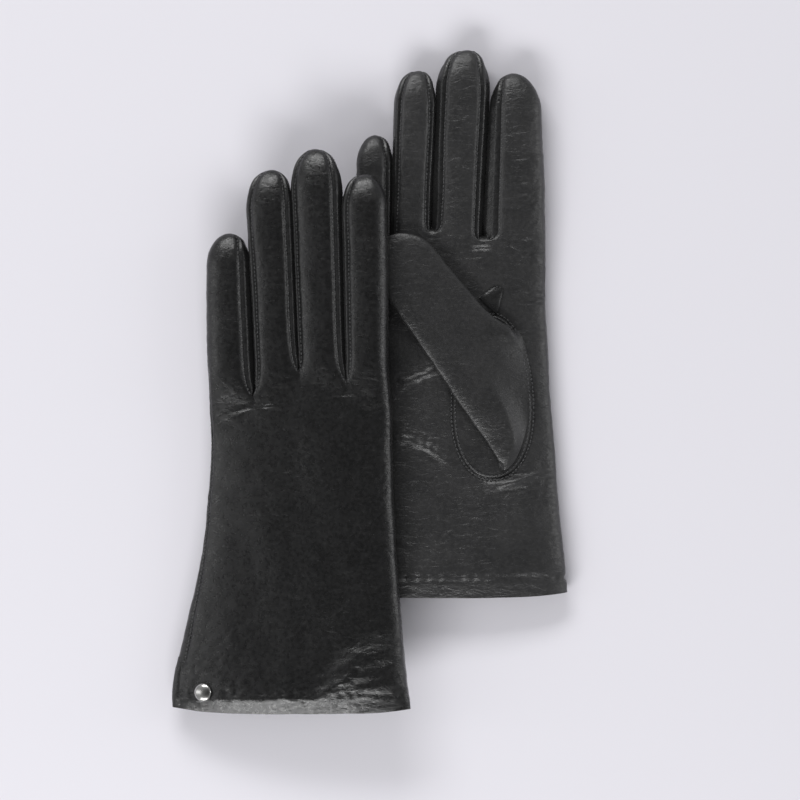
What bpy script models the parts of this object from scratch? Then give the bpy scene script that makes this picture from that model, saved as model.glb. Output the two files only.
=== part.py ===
"""A pair of lined leather dress gloves lying one over the other.

Frame: +Z up, +Y towards the fingertips. The origin is on the table under the middle of the pair.
The right glove lies palm up with its thumb folded across the palm. The left glove lies back up over
the right glove's little finger side, tilted, with its own thumb folded underneath it.

Each glove is modelled in its own frame: x = 0 on the middle of the palm, y = 0 at the hem, z = 0 on
its underside, -X towards the little finger and +X towards the thumb. Lengths are in millimetres and
become metres when a mesh is made. Every glove is cut the way a glover cuts it: one trank (palm and
back), fourchettes between the fingers, a thumb set into an oval opening, a quirk, a lining, and a
vent closed by a press stud.
"""

import math
from dataclasses import dataclass

import bmesh
import bpy
from mathutils import Matrix, Vector

MM = 0.001

# Materials and gaps
LEATHER = 0.9
LINING = 0.5
GAP = 0.3
LINING_INSET = LEATHER + GAP

# Hand: the tube from the hem to the knuckles
PALM_THICKNESS = 12.0
CUFF_THICKNESS = 15.0
CUFF_REACH = 70.0
SLIT_ENDS = (141.0, 151.5, 147.0)
SLIT_WIDTH = 1.6
SIDE_HEIGHT = 4.0
HAND_ROWS = (0.0, 23.0, 48.0, 74.0, 100.0, 124.0, 142.0)
VENT_ROW = 1
LINING_ROWS = HAND_ROWS[1:]
THUMB_SIDE_FULLNESS = 3.0
UNDERSIDE_FULLNESS = 4.5
UNDERSIDE_DIP = 0.4
EDGE_SHARE = 0.94
LINING_MARGIN = 1.6

# Fingers
FINGER_THICKNESS = 13.0
FINGER_BEND = 65.0
FINGER_FULLNESS = 2.4
DOME = 14.0
BODY_SHARES = (0.0, 0.33, 0.67, 1.0)
DOME_ANGLES = (32.0, 62.0, 90.0)
SEAM_ANGLES = (42.0, 42.0, 42.0, 36.0, 18.0, 18.0, 18.0)
FOURCHETTE_LAST_ROW = 4
SEAM_GAP_ANGLE = 5.0
SEAM_GAP = 0.5
SHOULDER = 10.0

# Thumb: a flat sleeve folded over the palm from a line across the oval opening
OVAL_CENTRE = Vector((19.4, 90.0))
OVAL_RADII = Vector((17.0, 37.0))
OVAL_SEGMENTS = 20
GUSSET_HOLE_SHARE = 0.55
THUMB_ROOT = Vector((26.6, 87.0))
THUMB_TIP = Vector((-22.0, 155.5))
THUMB_THICKNESS = 6.0
THUMB_ROOT_THICKNESS = 4.4
THUMB_LINING_MARGIN = 2.2
THUMB_CLEARANCE = 0.6
THUMB_ROOT_ANGLE = 81.5
THUMB_STATIONS = ((0.0, 28.0), (0.25, 22.5), (0.5, 17.5), (0.8, 15.0))
THUMB_DOME_START = 0.8
THUMB_ANGLES = tuple(180.0 - 30.0 * k for k in range(12))
THUMB_LINING_START = 0.06
QUIRK_CORNERS = ((15.3, 134.6), (20.6, 139.0), (23.4, 136.8), (21.4, 129.6))
QUIRK_THICKNESS = 0.8

# Vent and press stud, at the little finger side of the hem
CAP_RADIUS = 4.5
CAP_HEIGHT = 1.8
CAP_RIM = 0.3
SHANK_RADIUS = 1.0
PUNCH_RADIUS = 1.3
SOCKET_RADIUS = 3.4
SOCKET_HEIGHT = 1.5
NUB_RADIUS = 1.5
SOCKET_BORE = 2.0
POST_RADIUS = 3.2
STUD_STEPS = 16
UNDERLAP_DEPTH = LEATHER + SOCKET_HEIGHT + 2 * GAP
UNDERLAP_WIDTH = 12.0
CAP_LIFT = 2.4
CAP_GAP = 0.4


@dataclass
class Finger:
    """One finger stall. Fourchette sides: -1 faces the little finger side, +1 the thumb side."""

    name: str
    root_x: float
    hinge_y: float
    tip_x: float
    tip_y: float
    root_width: float
    tip_width: float
    fourchettes: tuple
    thickness: float = FINGER_THICKNESS

    @property
    def hinge_z(self):
        """The stall bends about the middle of its upper leather."""
        return self.thickness - LEATHER / 2


@dataclass
class Edge:
    """One side of the hand in plan: its distance from the middle is widest at the hem."""

    palm: float
    flare: float
    reach: float
    power: float

    def at(self, y):
        return self.palm + self.flare * max(0.0, 1 - y / self.reach) ** self.power


@dataclass
class Glove:
    """palm is +1 where the palm faces up and -1 where it faces the table."""

    side: str
    palm: int
    location: Vector
    tilt: float
    outer_edge: Edge
    thumb_edge: Edge
    outer_fullness: float
    cap_place: Vector
    flap_reach: float
    thumb_limit: float
    fingers: tuple


LEFT = Glove(
    side="left",
    palm=-1,
    location=Vector((-30.2, -147.6, 11.6)),
    tilt=math.atan(0.155),
    outer_edge=Edge(palm=40.8, flare=19.5, reach=100.0, power=1.5),
    thumb_edge=Edge(palm=41.4, flare=8.4, reach=95.0, power=1.3),
    outer_fullness=2.2,
    cap_place=Vector((-41.7, 9.0)),
    flap_reach=0.6,
    thumb_limit=-60.0,
    fingers=(
        Finger("little", -31.1, 155.0, -32.2, 212.0, 20.0, 18.0, (1,)),
        Finger("ring", -10.2, 166.0, -13.2, 240.5, 19.8, 20.0, (-1, 1)),
        Finger("middle", 10.9, 168.0, 8.0, 250.0, 20.2, 20.4, (-1, 1)),
        Finger("index", 31.6, 164.0, 29.9, 239.3, 19.4, 19.6, (-1,)),
    ),
)
RIGHT = Glove(
    side="right",
    palm=1,
    location=Vector((37.5, -96.3, 0.0)),
    tilt=0.0,
    outer_edge=Edge(palm=42.0, flare=16.0, reach=100.0, power=1.5),
    thumb_edge=Edge(palm=42.3, flare=10.7, reach=130.0, power=1.1),
    outer_fullness=1.9,
    cap_place=Vector((-41.5, 9.0)),
    flap_reach=0.3,
    thumb_limit=-24.6,
    fingers=(
        Finger("little", -34.2, 149.0, -33.9, 206.3, 15.8, 15.4, (1,), 11.5),
        Finger("ring", -16.6, 168.0, -16.0, 234.8, 17.4, 18.4, (-1, 1)),
        Finger("middle", 3.9, 169.0, 7.2, 244.2, 21.6, 21.4, (-1, 1)),
        Finger("index", 29.2, 166.0, 28.6, 233.5, 25.0, 22.0, (-1,)),
    ),
)


# ---------------------------------------------------------------- scene helpers


def clear_scene():
    for obj in list(bpy.data.objects):
        bpy.data.objects.remove(obj)


def make_collection(name):
    collection = bpy.data.collections.new(name)
    bpy.context.scene.collection.children.link(collection)
    return collection


def make_material(name, colour, roughness, metallic=0.0):
    material = bpy.data.materials.new(name)
    material.use_nodes = True
    shader = material.node_tree.nodes["Principled BSDF"]
    shader.inputs["Base Color"].default_value = (*colour, 1.0)
    shader.inputs["Roughness"].default_value = roughness
    shader.inputs["Metallic"].default_value = metallic
    return material


def add_empty(name, location, parent=None):
    """A frame or a joint's place. Its location is in millimetres in its parent's frame."""
    empty = bpy.data.objects.new(name, None)
    empty.location = Vector(location) * MM
    empty.parent = parent
    PARTS.objects.link(empty)
    return empty


def add_object(name, bm, material, pivot, collection=None):
    """Makes the mesh an object. Its points are in the glove's frame, whatever empty it hangs on."""
    mesh = bpy.data.meshes.new(name)
    bmesh.ops.scale(bm, vec=(MM, MM, MM), verts=bm.verts)
    bm.to_mesh(mesh)
    bm.free()
    if material:
        mesh.materials.append(material)
    obj = bpy.data.objects.new(name, mesh)
    (collection or PARTS).objects.link(obj)
    obj.parent = pivot
    if pivot.parent is not None:
        obj.location = -pivot.location
    return obj


def solidify(obj, thickness):
    modifier = obj.modifiers.new("thickness", "SOLIDIFY")
    modifier.thickness = thickness * MM
    modifier.offset = -1
    return modifier


def cut(obj, cutter):
    modifier = obj.modifiers.new("cut", "BOOLEAN")
    modifier.operation = "DIFFERENCE"
    modifier.object = cutter


def lerp(a, b, t):
    return a + (b - a) * t


def smooth_step(t):
    t = min(1.0, max(0.0, t))
    return t * t * (3 - 2 * t)


def signed_power(value, power):
    return math.copysign(abs(value) ** power, value)


# ---------------------------------------------------------------- leather as a rolled grid


def skin(columns, rows, point, closed=True, keep=None, flip=False):
    """A flat grid of leather, columns across and rows along, with each grid point moved to
    point(column, row). closed joins the last column to the first; keep(column, row) picks faces."""
    bm = bmesh.new()
    bmesh.ops.create_grid(bm, x_segments=columns, y_segments=rows, size=1.0)
    cells = {}
    for vert in bm.verts:
        column = round((vert.co.x + 1) / 2 * columns)
        row = round((vert.co.y + 1) / 2 * rows)
        cells[vert] = (column, row)
    unwanted = []
    for face in bm.faces:
        column = min(cells[vert][0] for vert in face.verts)
        row = min(cells[vert][1] for vert in face.verts)
        if keep and not keep(column, row):
            unwanted.append(face)
    bmesh.ops.delete(bm, geom=unwanted, context="FACES")
    for vert in bm.verts:
        column, row = cells[vert]
        vert.co = point(column % columns if closed else column, row)
    bmesh.ops.remove_doubles(bm, verts=bm.verts, dist=0.001)
    if flip:
        bmesh.ops.reverse_faces(bm, faces=bm.faces)
    return bm


def turned(name, profile, material, pivot, matrix):
    """A turned piece: profile is (radius, height) down its outer side from the axis to the axis."""
    bm = bmesh.new()
    verts = [bm.verts.new((radius, 0.0, height)) for radius, height in profile]
    for first, second in zip(verts, verts[1:]):
        bm.edges.new((first, second))
    obj = add_object(name, bm, material, pivot)
    screw = obj.modifiers.new("turn", "SCREW")
    screw.steps = screw.render_steps = STUD_STEPS
    screw.use_merge_vertices = True
    screw.merge_threshold = 0.00001
    local = Matrix.Translation(obj.location) @ matrix
    obj.matrix_basis = local
    return obj


# ---------------------------------------------------------------- the hand's surface


def hand_sides(glove, y):
    return -glove.outer_edge.at(y), glove.thumb_edge.at(y)


def hand_x(glove, share, y):
    """share runs from -1 at the little finger edge to +1 at the thumb edge."""
    low, high = hand_sides(glove, y)
    return (low + high) / 2 + share * (high - low) / 2


def hand_share(glove, x, y):
    low, high = hand_sides(glove, y)
    return (2 * x - low - high) / (high - low)


def hand_thickness(y):
    swell = max(0.0, 1 - y / CUFF_REACH) ** 1.5
    return lerp(PALM_THICKNESS, CUFF_THICKNESS, swell)


def bulge(share, fullness):
    return max(0.0, 1 - min(1.0, abs(share)) ** fullness) ** (1 / fullness)


def top_height(glove, share, y):
    fullness = glove.outer_fullness if share < 0 else THUMB_SIDE_FULLNESS
    return SIDE_HEIGHT + (hand_thickness(y) - SIDE_HEIGHT) * bulge(share, fullness)


def under_height(glove, share, y):
    """The underside is flat on the table, except where the press stud's cap lifts a corner."""
    lift = 0.0
    if glove.palm > 0:
        lift = CAP_LIFT * smooth_step((-share - 0.4) / 0.2) * smooth_step((40 - y) / 16)
    rounded = SIDE_HEIGHT - (SIDE_HEIGHT + UNDERSIDE_DIP) * bulge(share, UNDERSIDE_FULLNESS)
    return max(min(lift, SIDE_HEIGHT), rounded)


def hand_point(glove, share, face, y, inset=0.0):
    """face is +1 on the top, -1 on the underside and 0 on the side edges."""
    x = hand_x(glove, share, y)
    x -= LINING_MARGIN * inset * share
    if face > 0:
        return Vector((x, y, top_height(glove, share, y) - inset))
    if face < 0:
        return Vector((x, y, under_height(glove, share, y) + inset))
    return Vector((x, y, SIDE_HEIGHT))


def crotches(glove):
    """x of the three gaps between neighbouring fingers at their hinges."""
    found = []
    for first, second in zip(glove.fingers, glove.fingers[1:]):
        right = first.root_x + first.root_width / 2
        left = second.root_x - second.root_width / 2
        found.append((left + right) / 2)
    return found


def finger_at(glove, x):
    """The finger that takes over from the hand at x."""
    for finger, crotch in zip(glove.fingers, crotches(glove)):
        if x < crotch:
            return finger
    return glove.fingers[-1]


def hand_columns(glove):
    """(share, face) round the hand: the thumb edge follows the top, and the underside comes back."""
    shares = []
    knuckles = glove.fingers[1].hinge_y
    for finger in glove.fingers[1:]:
        shares.append(hand_share(glove, finger.root_x, knuckles))
    for crotch in crotches(glove):
        shares.append(hand_share(glove, crotch - GAP, knuckles))
        shares.append(hand_share(glove, crotch + GAP, knuckles))
    shares = sorted([-EDGE_SHARE, *shares, EDGE_SHARE])
    top = [(share, 1) for share in shares]
    under = [(share, -1) for share in reversed(shares)]
    return [(-1.0, 0), *top, (1.0, 0), *under]


def hand_end(glove, share, height, inset):
    """y where a hand skin stops at the knuckles, chamfered above the finger's hinge."""
    x = hand_x(glove, share, glove.fingers[1].hinge_y)
    finger = finger_at(glove, x)
    chamfer = max(0.0, height - finger.hinge_z) * math.tan(math.radians(FINGER_BEND / 2))
    return finger.hinge_y - chamfer - GAP - inset / 2


def hand_skin(glove, rows, inset, keep=None):
    columns = hand_columns(glove)
    knuckles = glove.fingers[1].hinge_y

    def point(column, row):
        share, face = columns[column]
        if row < len(rows):
            return hand_point(glove, share, face, rows[row], inset)
        last = hand_point(glove, share, face, knuckles, inset)
        last.y = hand_end(glove, share, last.z, inset)
        return last

    return skin(len(columns), len(rows), point, keep=keep)


def vent_columns(glove):
    """Columns of the vent flap on the back of the hand, from the little finger edge inwards."""
    columns = hand_columns(glove)
    count = 2
    if glove.palm < 0:
        return list(range(count))
    return list(range(len(columns) - count, len(columns)))


# ---------------------------------------------------------------- pieces of the hand


def add_oval_cutter(glove, frame, shrink):
    """An oval block through the palm side only, for the thumb opening."""
    bm = bmesh.new()
    bmesh.ops.create_cone(
        bm, cap_ends=True, segments=OVAL_SEGMENTS, radius1=1.0, radius2=1.0, depth=12.0
    )
    radii = OVAL_RADII - Vector((shrink, shrink))
    bmesh.ops.scale(bm, vec=(radii.x, radii.y, 1.0), verts=bm.verts)
    height = PALM_THICKNESS - 1.0 if glove.palm > 0 else -4.0
    bmesh.ops.translate(bm, vec=(*OVAL_CENTRE, height), verts=bm.verts)
    cutter = add_object(f"{glove.side}_oval_cutter_{shrink:g}", bm, None, frame, CUTTERS)
    cutter.hide_render = True
    cutter.display_type = "WIRE"
    return cutter


def add_slit_cutter(glove, frame, crotch, end):
    """The slit between two fingers runs further down the back than down the palm."""
    bm = bmesh.new()
    bmesh.ops.create_cube(bm, size=1.0)
    length = 60.0
    bmesh.ops.scale(bm, vec=(SLIT_WIDTH, length, PALM_THICKNESS), verts=bm.verts)
    middle = 0.0 if glove.palm > 0 else PALM_THICKNESS
    height = middle - glove.palm * -0.5
    bmesh.ops.translate(bm, vec=(crotch, end + length / 2, height), verts=bm.verts)
    cutter = add_object(f"{glove.side}_slit_cutter_{end:g}", bm, None, frame, CUTTERS)
    cutter.hide_render = True
    cutter.display_type = "WIRE"
    return cutter


def add_trank(glove, frame):
    vent = vent_columns(glove)

    def keep(column, row):
        return row >= VENT_ROW or column not in vent

    bm = hand_skin(glove, HAND_ROWS, 0.0, keep)
    trank = add_object(f"{glove.side}_trank_hand", bm, LEATHER_BLACK, frame)
    solidify(trank, LEATHER)
    cut(trank, add_oval_cutter(glove, frame, 0.0))
    for crotch, end in zip(crotches(glove), SLIT_ENDS):
        cut(trank, add_slit_cutter(glove, frame, crotch, end))


def add_hand_lining(glove, frame):
    bm = hand_skin(glove, LINING_ROWS, LINING_INSET)
    lining = add_object(f"{glove.side}_hand_lining", bm, LINING_CLOTH, frame)
    solidify(lining, LINING)
    cut(lining, add_oval_cutter(glove, frame, 4.0))


def palm_point(glove, x, y, raised):
    """A point on the palm, raised away from the hand."""
    share = hand_share(glove, x, y)
    if glove.palm > 0:
        return Vector((x, y, top_height(glove, share, y) + raised))
    return Vector((x, y, under_height(glove, share, y) - raised))


def add_thumb_gusset(glove, frame):
    """The thumb piece's own leather inside the oval seam, open in the middle for the thumb."""

    def point(column, row):
        angle = 2 * math.pi * column / OVAL_SEGMENTS
        share = 1.0 if row else GUSSET_HOLE_SHARE
        radii = share * (OVAL_RADII - Vector((SEAM_GAP, SEAM_GAP)))
        x = OVAL_CENTRE.x + radii.x * math.cos(angle)
        y = OVAL_CENTRE.y + radii.y * math.sin(angle)
        return palm_point(glove, x, y, 0.0)

    bm = skin(OVAL_SEGMENTS, 1, point, flip=glove.palm > 0)
    gusset = add_object(f"{glove.side}_thumb_gusset", bm, LEATHER_BLACK, frame)
    solidify(gusset, LEATHER)


def add_quirk(glove, frame):
    """The small four-cornered gusset where the thumb meets the palm."""

    def point(column, row):
        x, y = QUIRK_CORNERS[(0, 1, 3, 2)[column + 2 * row]]
        return palm_point(glove, x, y, GAP + QUIRK_THICKNESS)

    bm = skin(1, 1, point, closed=False, flip=glove.palm > 0)
    quirk = add_object(f"{glove.side}_thumb_quirk", bm, LEATHER_BLACK, frame)
    solidify(quirk, QUIRK_THICKNESS)


# ---------------------------------------------------------------- vent and press stud


def facet_corners(glove):
    """The four corners of the flat part of the vent flap: outer then inner, low then high."""
    columns = hand_columns(glove)
    top_shares = [share for share, face in columns if face > 0]
    corners = []
    for share in top_shares[:2]:
        for y in (0.0, HAND_ROWS[VENT_ROW]):
            corners.append(hand_point(glove, share, -glove.palm, y))
    return corners


def on_facet(glove, x, y):
    """The point of the flap's flat part at x, y."""
    outer_low, outer_high, inner_low, inner_high = facet_corners(glove)
    up = y / HAND_ROWS[VENT_ROW]
    outer = outer_low.lerp(outer_high, up)
    inner = inner_low.lerp(inner_high, up)
    return outer.lerp(inner, (x - outer.x) / (inner.x - outer.x))


def cap_matrix(glove):
    """A frame on the flap's leather under the cap, with +Z pointing out of the glove."""
    x, y = glove.cap_place
    side = (on_facet(glove, x + 1.0, y) - on_facet(glove, x - 1.0, y)).normalized() * -glove.palm
    along = on_facet(glove, x, y + 1.0) - on_facet(glove, x, y - 1.0)
    out = side.cross(along).normalized()
    turn = Matrix((side, out.cross(side), out)).transposed().to_4x4()
    return Matrix.Translation(on_facet(glove, x, y) * MM) @ turn


def add_punch(name, matrix, pivot):
    """A round cutter for the hole that a stud's shank passes through."""
    bm = bmesh.new()
    bmesh.ops.create_cone(
        bm, cap_ends=True, segments=STUD_STEPS, radius1=PUNCH_RADIUS, radius2=PUNCH_RADIUS, depth=14.0
    )
    cutter = add_object(name, bm, None, pivot, CUTTERS)
    cutter.matrix_basis = Matrix.Translation(cutter.location) @ matrix
    cutter.hide_render = True
    cutter.display_type = "WIRE"
    return cutter


def flap_skin(glove):
    """The vent's corner of the back, between the little finger edge and a line up the back."""
    shares = [share for share, face in hand_columns(glove) if face > 0][:2]

    def point(column, row):
        y = lerp(0.0, HAND_ROWS[VENT_ROW] - SEAM_GAP, row / 2)
        if column == 2:
            return hand_point(glove, shares[1], -glove.palm, y) - Vector((SEAM_GAP, 0.0, 0.0))
        fold = hand_point(glove, shares[0], -glove.palm, y)
        if column == 1:
            return fold
        return fold.lerp(hand_point(glove, -1.0, 0, y), glove.flap_reach)

    return skin(2, 2, point, closed=False, flip=glove.palm > 0)


def underlap_skin(glove):
    """A flat strip behind the flap and parallel with it, which carries the lower half of the stud."""
    out = cap_matrix(glove).col[2].to_3d()

    def point(column, row):
        x = glove.cap_place.x + (UNDERLAP_WIDTH / 2) * (2 * column - 1)
        y = lerp(0.0, HAND_ROWS[VENT_ROW] - SEAM_GAP, row)
        return on_facet(glove, x, y) - out * UNDERLAP_DEPTH

    return skin(1, 1, point, closed=False, flip=glove.palm > 0)


def vent_hinge(glove):
    """(place, direction) of the line about which the vent's corner folds open."""
    _, _, low, high = facet_corners(glove)
    return (low + high) / 2, (high - low).normalized()


def add_vent(glove, frame):
    """The corner flap with its cap and socket, and the underlap with its stud and post."""
    side = glove.side
    place, _ = vent_hinge(glove)
    pivot = add_empty(f"{side}_vent_pivot", place, frame)
    at_cap = cap_matrix(glove)

    flap = add_object(f"{side}_vent_flap", flap_skin(glove), LEATHER_BLACK, pivot)
    solidify(flap, LEATHER)
    cut(flap, add_punch(f"{side}_flap_punch", at_cap, pivot))
    underlap = add_object(f"{side}_vent_underlap", underlap_skin(glove), LEATHER_BLACK, frame)
    solidify(underlap, LEATHER)
    cut(underlap, add_punch(f"{side}_underlap_punch", at_cap, frame))

    turned(
        f"{side}_press_cap",
        (
            (0.0, CAP_GAP + CAP_HEIGHT),
            (0.4 * CAP_RADIUS, CAP_GAP + 0.92 * CAP_HEIGHT),
            (0.75 * CAP_RADIUS, CAP_GAP + 0.66 * CAP_HEIGHT),
            (0.95 * CAP_RADIUS, CAP_GAP + 0.35 * CAP_HEIGHT),
            (CAP_RADIUS, CAP_GAP + CAP_RIM),
            (CAP_RADIUS, CAP_GAP),
            (SHANK_RADIUS, CAP_GAP),
            (SHANK_RADIUS, -LEATHER - GAP),
            (0.0, -LEATHER - GAP),
        ),
        NICKEL,
        pivot,
        at_cap,
    )
    socket_top = -LEATHER - 2 * GAP
    plate = 0.5
    turned(
        f"{side}_press_socket",
        (
            (0.0, socket_top),
            (SOCKET_RADIUS, socket_top),
            (SOCKET_RADIUS, socket_top - SOCKET_HEIGHT + GAP),
            (SOCKET_BORE, socket_top - SOCKET_HEIGHT + GAP),
            (SOCKET_BORE, socket_top - plate),
            (0.0, socket_top - plate),
        ),
        NICKEL,
        pivot,
        at_cap,
    )
    seat = -UNDERLAP_DEPTH
    turned(
        f"{side}_press_stud",
        (
            (0.0, socket_top - plate - GAP),
            (0.8 * NUB_RADIUS, socket_top - plate - GAP),
            (NUB_RADIUS, socket_top - plate - 2 * GAP),
            (0.8 * NUB_RADIUS, seat + GAP),
            (SHANK_RADIUS, seat + GAP),
            (SHANK_RADIUS, seat - LEATHER - GAP),
            (0.0, seat - LEATHER - GAP),
        ),
        NICKEL,
        frame,
        at_cap,
    )
    back = seat - LEATHER - 2 * GAP
    turned(
        f"{side}_press_post",
        (
            (0.0, back),
            (POST_RADIUS, back),
            (POST_RADIUS, back - CAP_RIM),
            (0.8 * POST_RADIUS, back - 2 * CAP_RIM),
            (0.0, back - 2 * CAP_RIM),
        ),
        NICKEL,
        frame,
        at_cap,
    )


# ---------------------------------------------------------------- fingers


def finger_point(finger, angle, row, inset=0.0):
    """A point of the stall's skin. Rows run from the hinge, chamfered above it, over the dome."""
    length = finger.tip_y - finger.hinge_y
    dome_row = row - len(BODY_SHARES)
    shrink = 1.0 if dome_row < 0 else math.cos(math.radians(DOME_ANGLES[dome_row]))
    turn = math.radians(angle)
    half_thickness = (finger.thickness / 2 - inset) * shrink
    z = finger.thickness / 2 + half_thickness * signed_power(math.sin(turn), 2 / FINGER_FULLNESS)
    dome_start = length - DOME
    if dome_row < 0:
        chamfer = max(0.0, z - finger.hinge_z) * math.tan(math.radians(FINGER_BEND / 2))
        along = lerp(GAP + chamfer, dome_start, BODY_SHARES[row])
    else:
        along = dome_start + (DOME - inset) * math.sin(math.radians(DOME_ANGLES[dome_row]))
    share = along / length
    half_width = (lerp(finger.root_width, finger.tip_width, share) / 2 - inset) * shrink
    x = lerp(finger.root_x, finger.tip_x, share)
    x += half_width * signed_power(math.cos(turn), 2 / FINGER_FULLNESS)
    return Vector((x, finger.hinge_y + along, z))


def trank_angles(row):
    """Twelve stations round the stall with columns on both fourchette seams, little side first."""
    seam = SEAM_ANGLES[row]
    shoulder = seam + SHOULDER
    top = (180, 180 - seam, 180 - shoulder, 90, shoulder, seam)
    under = (0, -seam, -shoulder, -90, shoulder - 180, seam - 180)
    return top + under


def lining_angles(row):
    seam = SEAM_ANGLES[row]
    return (180, 180 - seam, 90, seam, 0, -seam, -90, seam - 180)


def fourchette_angles(row, middle):
    """Five stations across a fourchette, from its first seam to its second."""
    half = SEAM_ANGLES[row] - SEAM_GAP_ANGLE
    shoulder = half - min(SHOULDER, half / 2)
    return tuple(middle + turn for turn in (half, shoulder, 0, -shoulder, -half))


FOURCHETTE_COLUMNS = {-1: (11, 0), 1: (5, 6)}


def add_finger(glove, finger, frame):
    rows = len(BODY_SHARES) + len(DOME_ANGLES) - 1
    side = glove.side
    pivot_place = (finger.root_x, finger.hinge_y, finger.hinge_z)
    pivot = add_empty(f"{side}_{finger.name}_pivot", pivot_place, frame)
    opened = {column for face in finger.fourchettes for column in FOURCHETTE_COLUMNS[face]}

    def keep(column, row):
        return row >= FOURCHETTE_LAST_ROW or column not in opened

    bm = skin(12, rows, lambda c, r: finger_point(finger, trank_angles(r)[c], r), keep=keep)
    trank = add_object(f"{side}_{finger.name}_trank", bm, LEATHER_BLACK, pivot)
    solidify(trank, LEATHER)

    for face in finger.fourchettes:
        middle = 0.0 if face > 0 else 180.0

        def strip_point(column, row):
            spot = finger_point(finger, fourchette_angles(row, middle)[column], row)
            if row == FOURCHETTE_LAST_ROW:
                spot.y -= SEAM_GAP
            return spot

        neighbour = {-1: "outer", 1: "inner"}[face]
        bm = skin(4, FOURCHETTE_LAST_ROW, strip_point, closed=False)
        strip = add_object(f"{side}_{finger.name}_fourchette_{neighbour}", bm, LEATHER_BLACK, pivot)
        solidify(strip, LEATHER)

    bm = skin(8, rows, lambda c, r: finger_point(finger, lining_angles(r)[c], r, LINING_INSET))
    lining = add_object(f"{side}_{finger.name}_lining", bm, LINING_CLOTH, pivot)
    solidify(lining, LINING)


# ---------------------------------------------------------------- thumb


def thumb_half_width(share):
    """Half the flat sleeve's width, read from its stations and rounded off over the tip."""
    stations = THUMB_STATIONS
    for (low, wide), (high, narrow) in zip(stations, stations[1:]):
        if share <= high:
            return lerp(wide, narrow, (share - low) / (high - low))
    return stations[-1][1]


def thumb_point(glove, angle, row, inset=0.0):
    """A point of the thumb's sleeve. Row 0 lies along the fold; the last row is the tip."""
    shares = (0.0, 0.2, 0.4, 0.6, THUMB_DOME_START)
    shrink = 1.0
    spine = THUMB_TIP - THUMB_ROOT
    if row < len(shares):
        share = shares[row]
        if inset and row == 0:
            share = THUMB_LINING_START
    else:
        turn = math.radians(DOME_ANGLES[row - len(shares)])
        shrink = math.cos(turn)
        margin = THUMB_LINING_MARGIN * inset / spine.length
        share = THUMB_DOME_START + (1 - THUMB_DOME_START - margin) * math.sin(turn)
    spine_angle = math.degrees(math.atan2(spine.y, spine.x)) - 90
    across_angle = lerp(THUMB_ROOT_ANGLE, spine_angle, smooth_step(share / 0.5))
    across = Vector((math.cos(math.radians(across_angle)), math.sin(math.radians(across_angle))))
    turn = math.radians(angle)
    half_width = (thumb_half_width(share) - THUMB_LINING_MARGIN * inset) * shrink
    plan = THUMB_ROOT + spine * share
    plan += across * half_width * signed_power(math.cos(turn), 2 / FINGER_FULLNESS)
    thickness = lerp(THUMB_ROOT_THICKNESS, THUMB_THICKNESS, smooth_step(share / 0.6))
    half_thickness = (thickness / 2 - inset) * shrink
    rise = half_thickness * signed_power(math.sin(turn), 2 / FINGER_FULLNESS)
    limit = glove.thumb_limit + inset
    return Vector((max(plan.x, limit), plan.y, thumb_height(glove, thickness) + rise))


def thumb_height(glove, thickness):
    """z of the middle of the folded thumb: over the palm, or under it on the upper glove."""
    clear = THUMB_CLEARANCE + thickness / 2
    return PALM_THICKNESS + clear if glove.palm > 0 else -clear


def thumb_fold(glove):
    """(place, direction) of the line along which the thumb folds, on the palm's surface."""
    height = PALM_THICKNESS + THUMB_CLEARANCE / 2 if glove.palm > 0 else -THUMB_CLEARANCE / 2
    turn = math.radians(THUMB_ROOT_ANGLE)
    return Vector((*THUMB_ROOT, height)), Vector((math.cos(turn), math.sin(turn), 0.0))


def add_thumb(glove, frame):
    place, _ = thumb_fold(glove)
    pivot = add_empty(f"{glove.side}_thumb_pivot", place, frame)
    rows = 5 + len(DOME_ANGLES) - 1
    columns = len(THUMB_ANGLES)
    bm = skin(columns, rows, lambda c, r: thumb_point(glove, THUMB_ANGLES[c], r))
    sleeve = add_object(f"{glove.side}_thumb", bm, LEATHER_BLACK, pivot)
    solidify(sleeve, LEATHER)
    bm = skin(columns, rows, lambda c, r: thumb_point(glove, THUMB_ANGLES[c], r, LINING_INSET))
    lining = add_object(f"{glove.side}_thumb_lining", bm, LINING_CLOTH, pivot)
    solidify(lining, LINING)


# ---------------------------------------------------------------- the pair


def add_glove(glove):
    frame = add_empty(f"{glove.side}_glove", glove.location)
    frame.rotation_euler.y = -glove.tilt
    add_trank(glove, frame)
    add_hand_lining(glove, frame)
    add_thumb_gusset(glove, frame)
    add_quirk(glove, frame)
    add_vent(glove, frame)
    add_thumb(glove, frame)
    for finger in glove.fingers:
        add_finger(glove, finger, frame)


clear_scene()
PARTS = make_collection("leather_gloves")
CUTTERS = make_collection("cutters")
LEATHER_BLACK = make_material("black_leather", (0.018, 0.018, 0.019), 0.42)
LINING_CLOTH = make_material("knitted_lining", (0.03, 0.03, 0.034), 0.9)
NICKEL = make_material("nickel", (0.62, 0.62, 0.62), 0.28, 1.0)
for pair_glove in (LEFT, RIGHT):
    add_glove(pair_glove)
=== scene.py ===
"""The looks of a pair of black leather dress gloves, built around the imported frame.

Shapes are worked out in each glove's own frame, in millimetres: x = 0 on the middle of the palm, y = 0 at
the hem, z = 0 on the underside, -X towards the little finger and +X towards the thumb.
"""

import math

import bpy
import numpy as np
from mathutils import Matrix, Vector, noise


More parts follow.
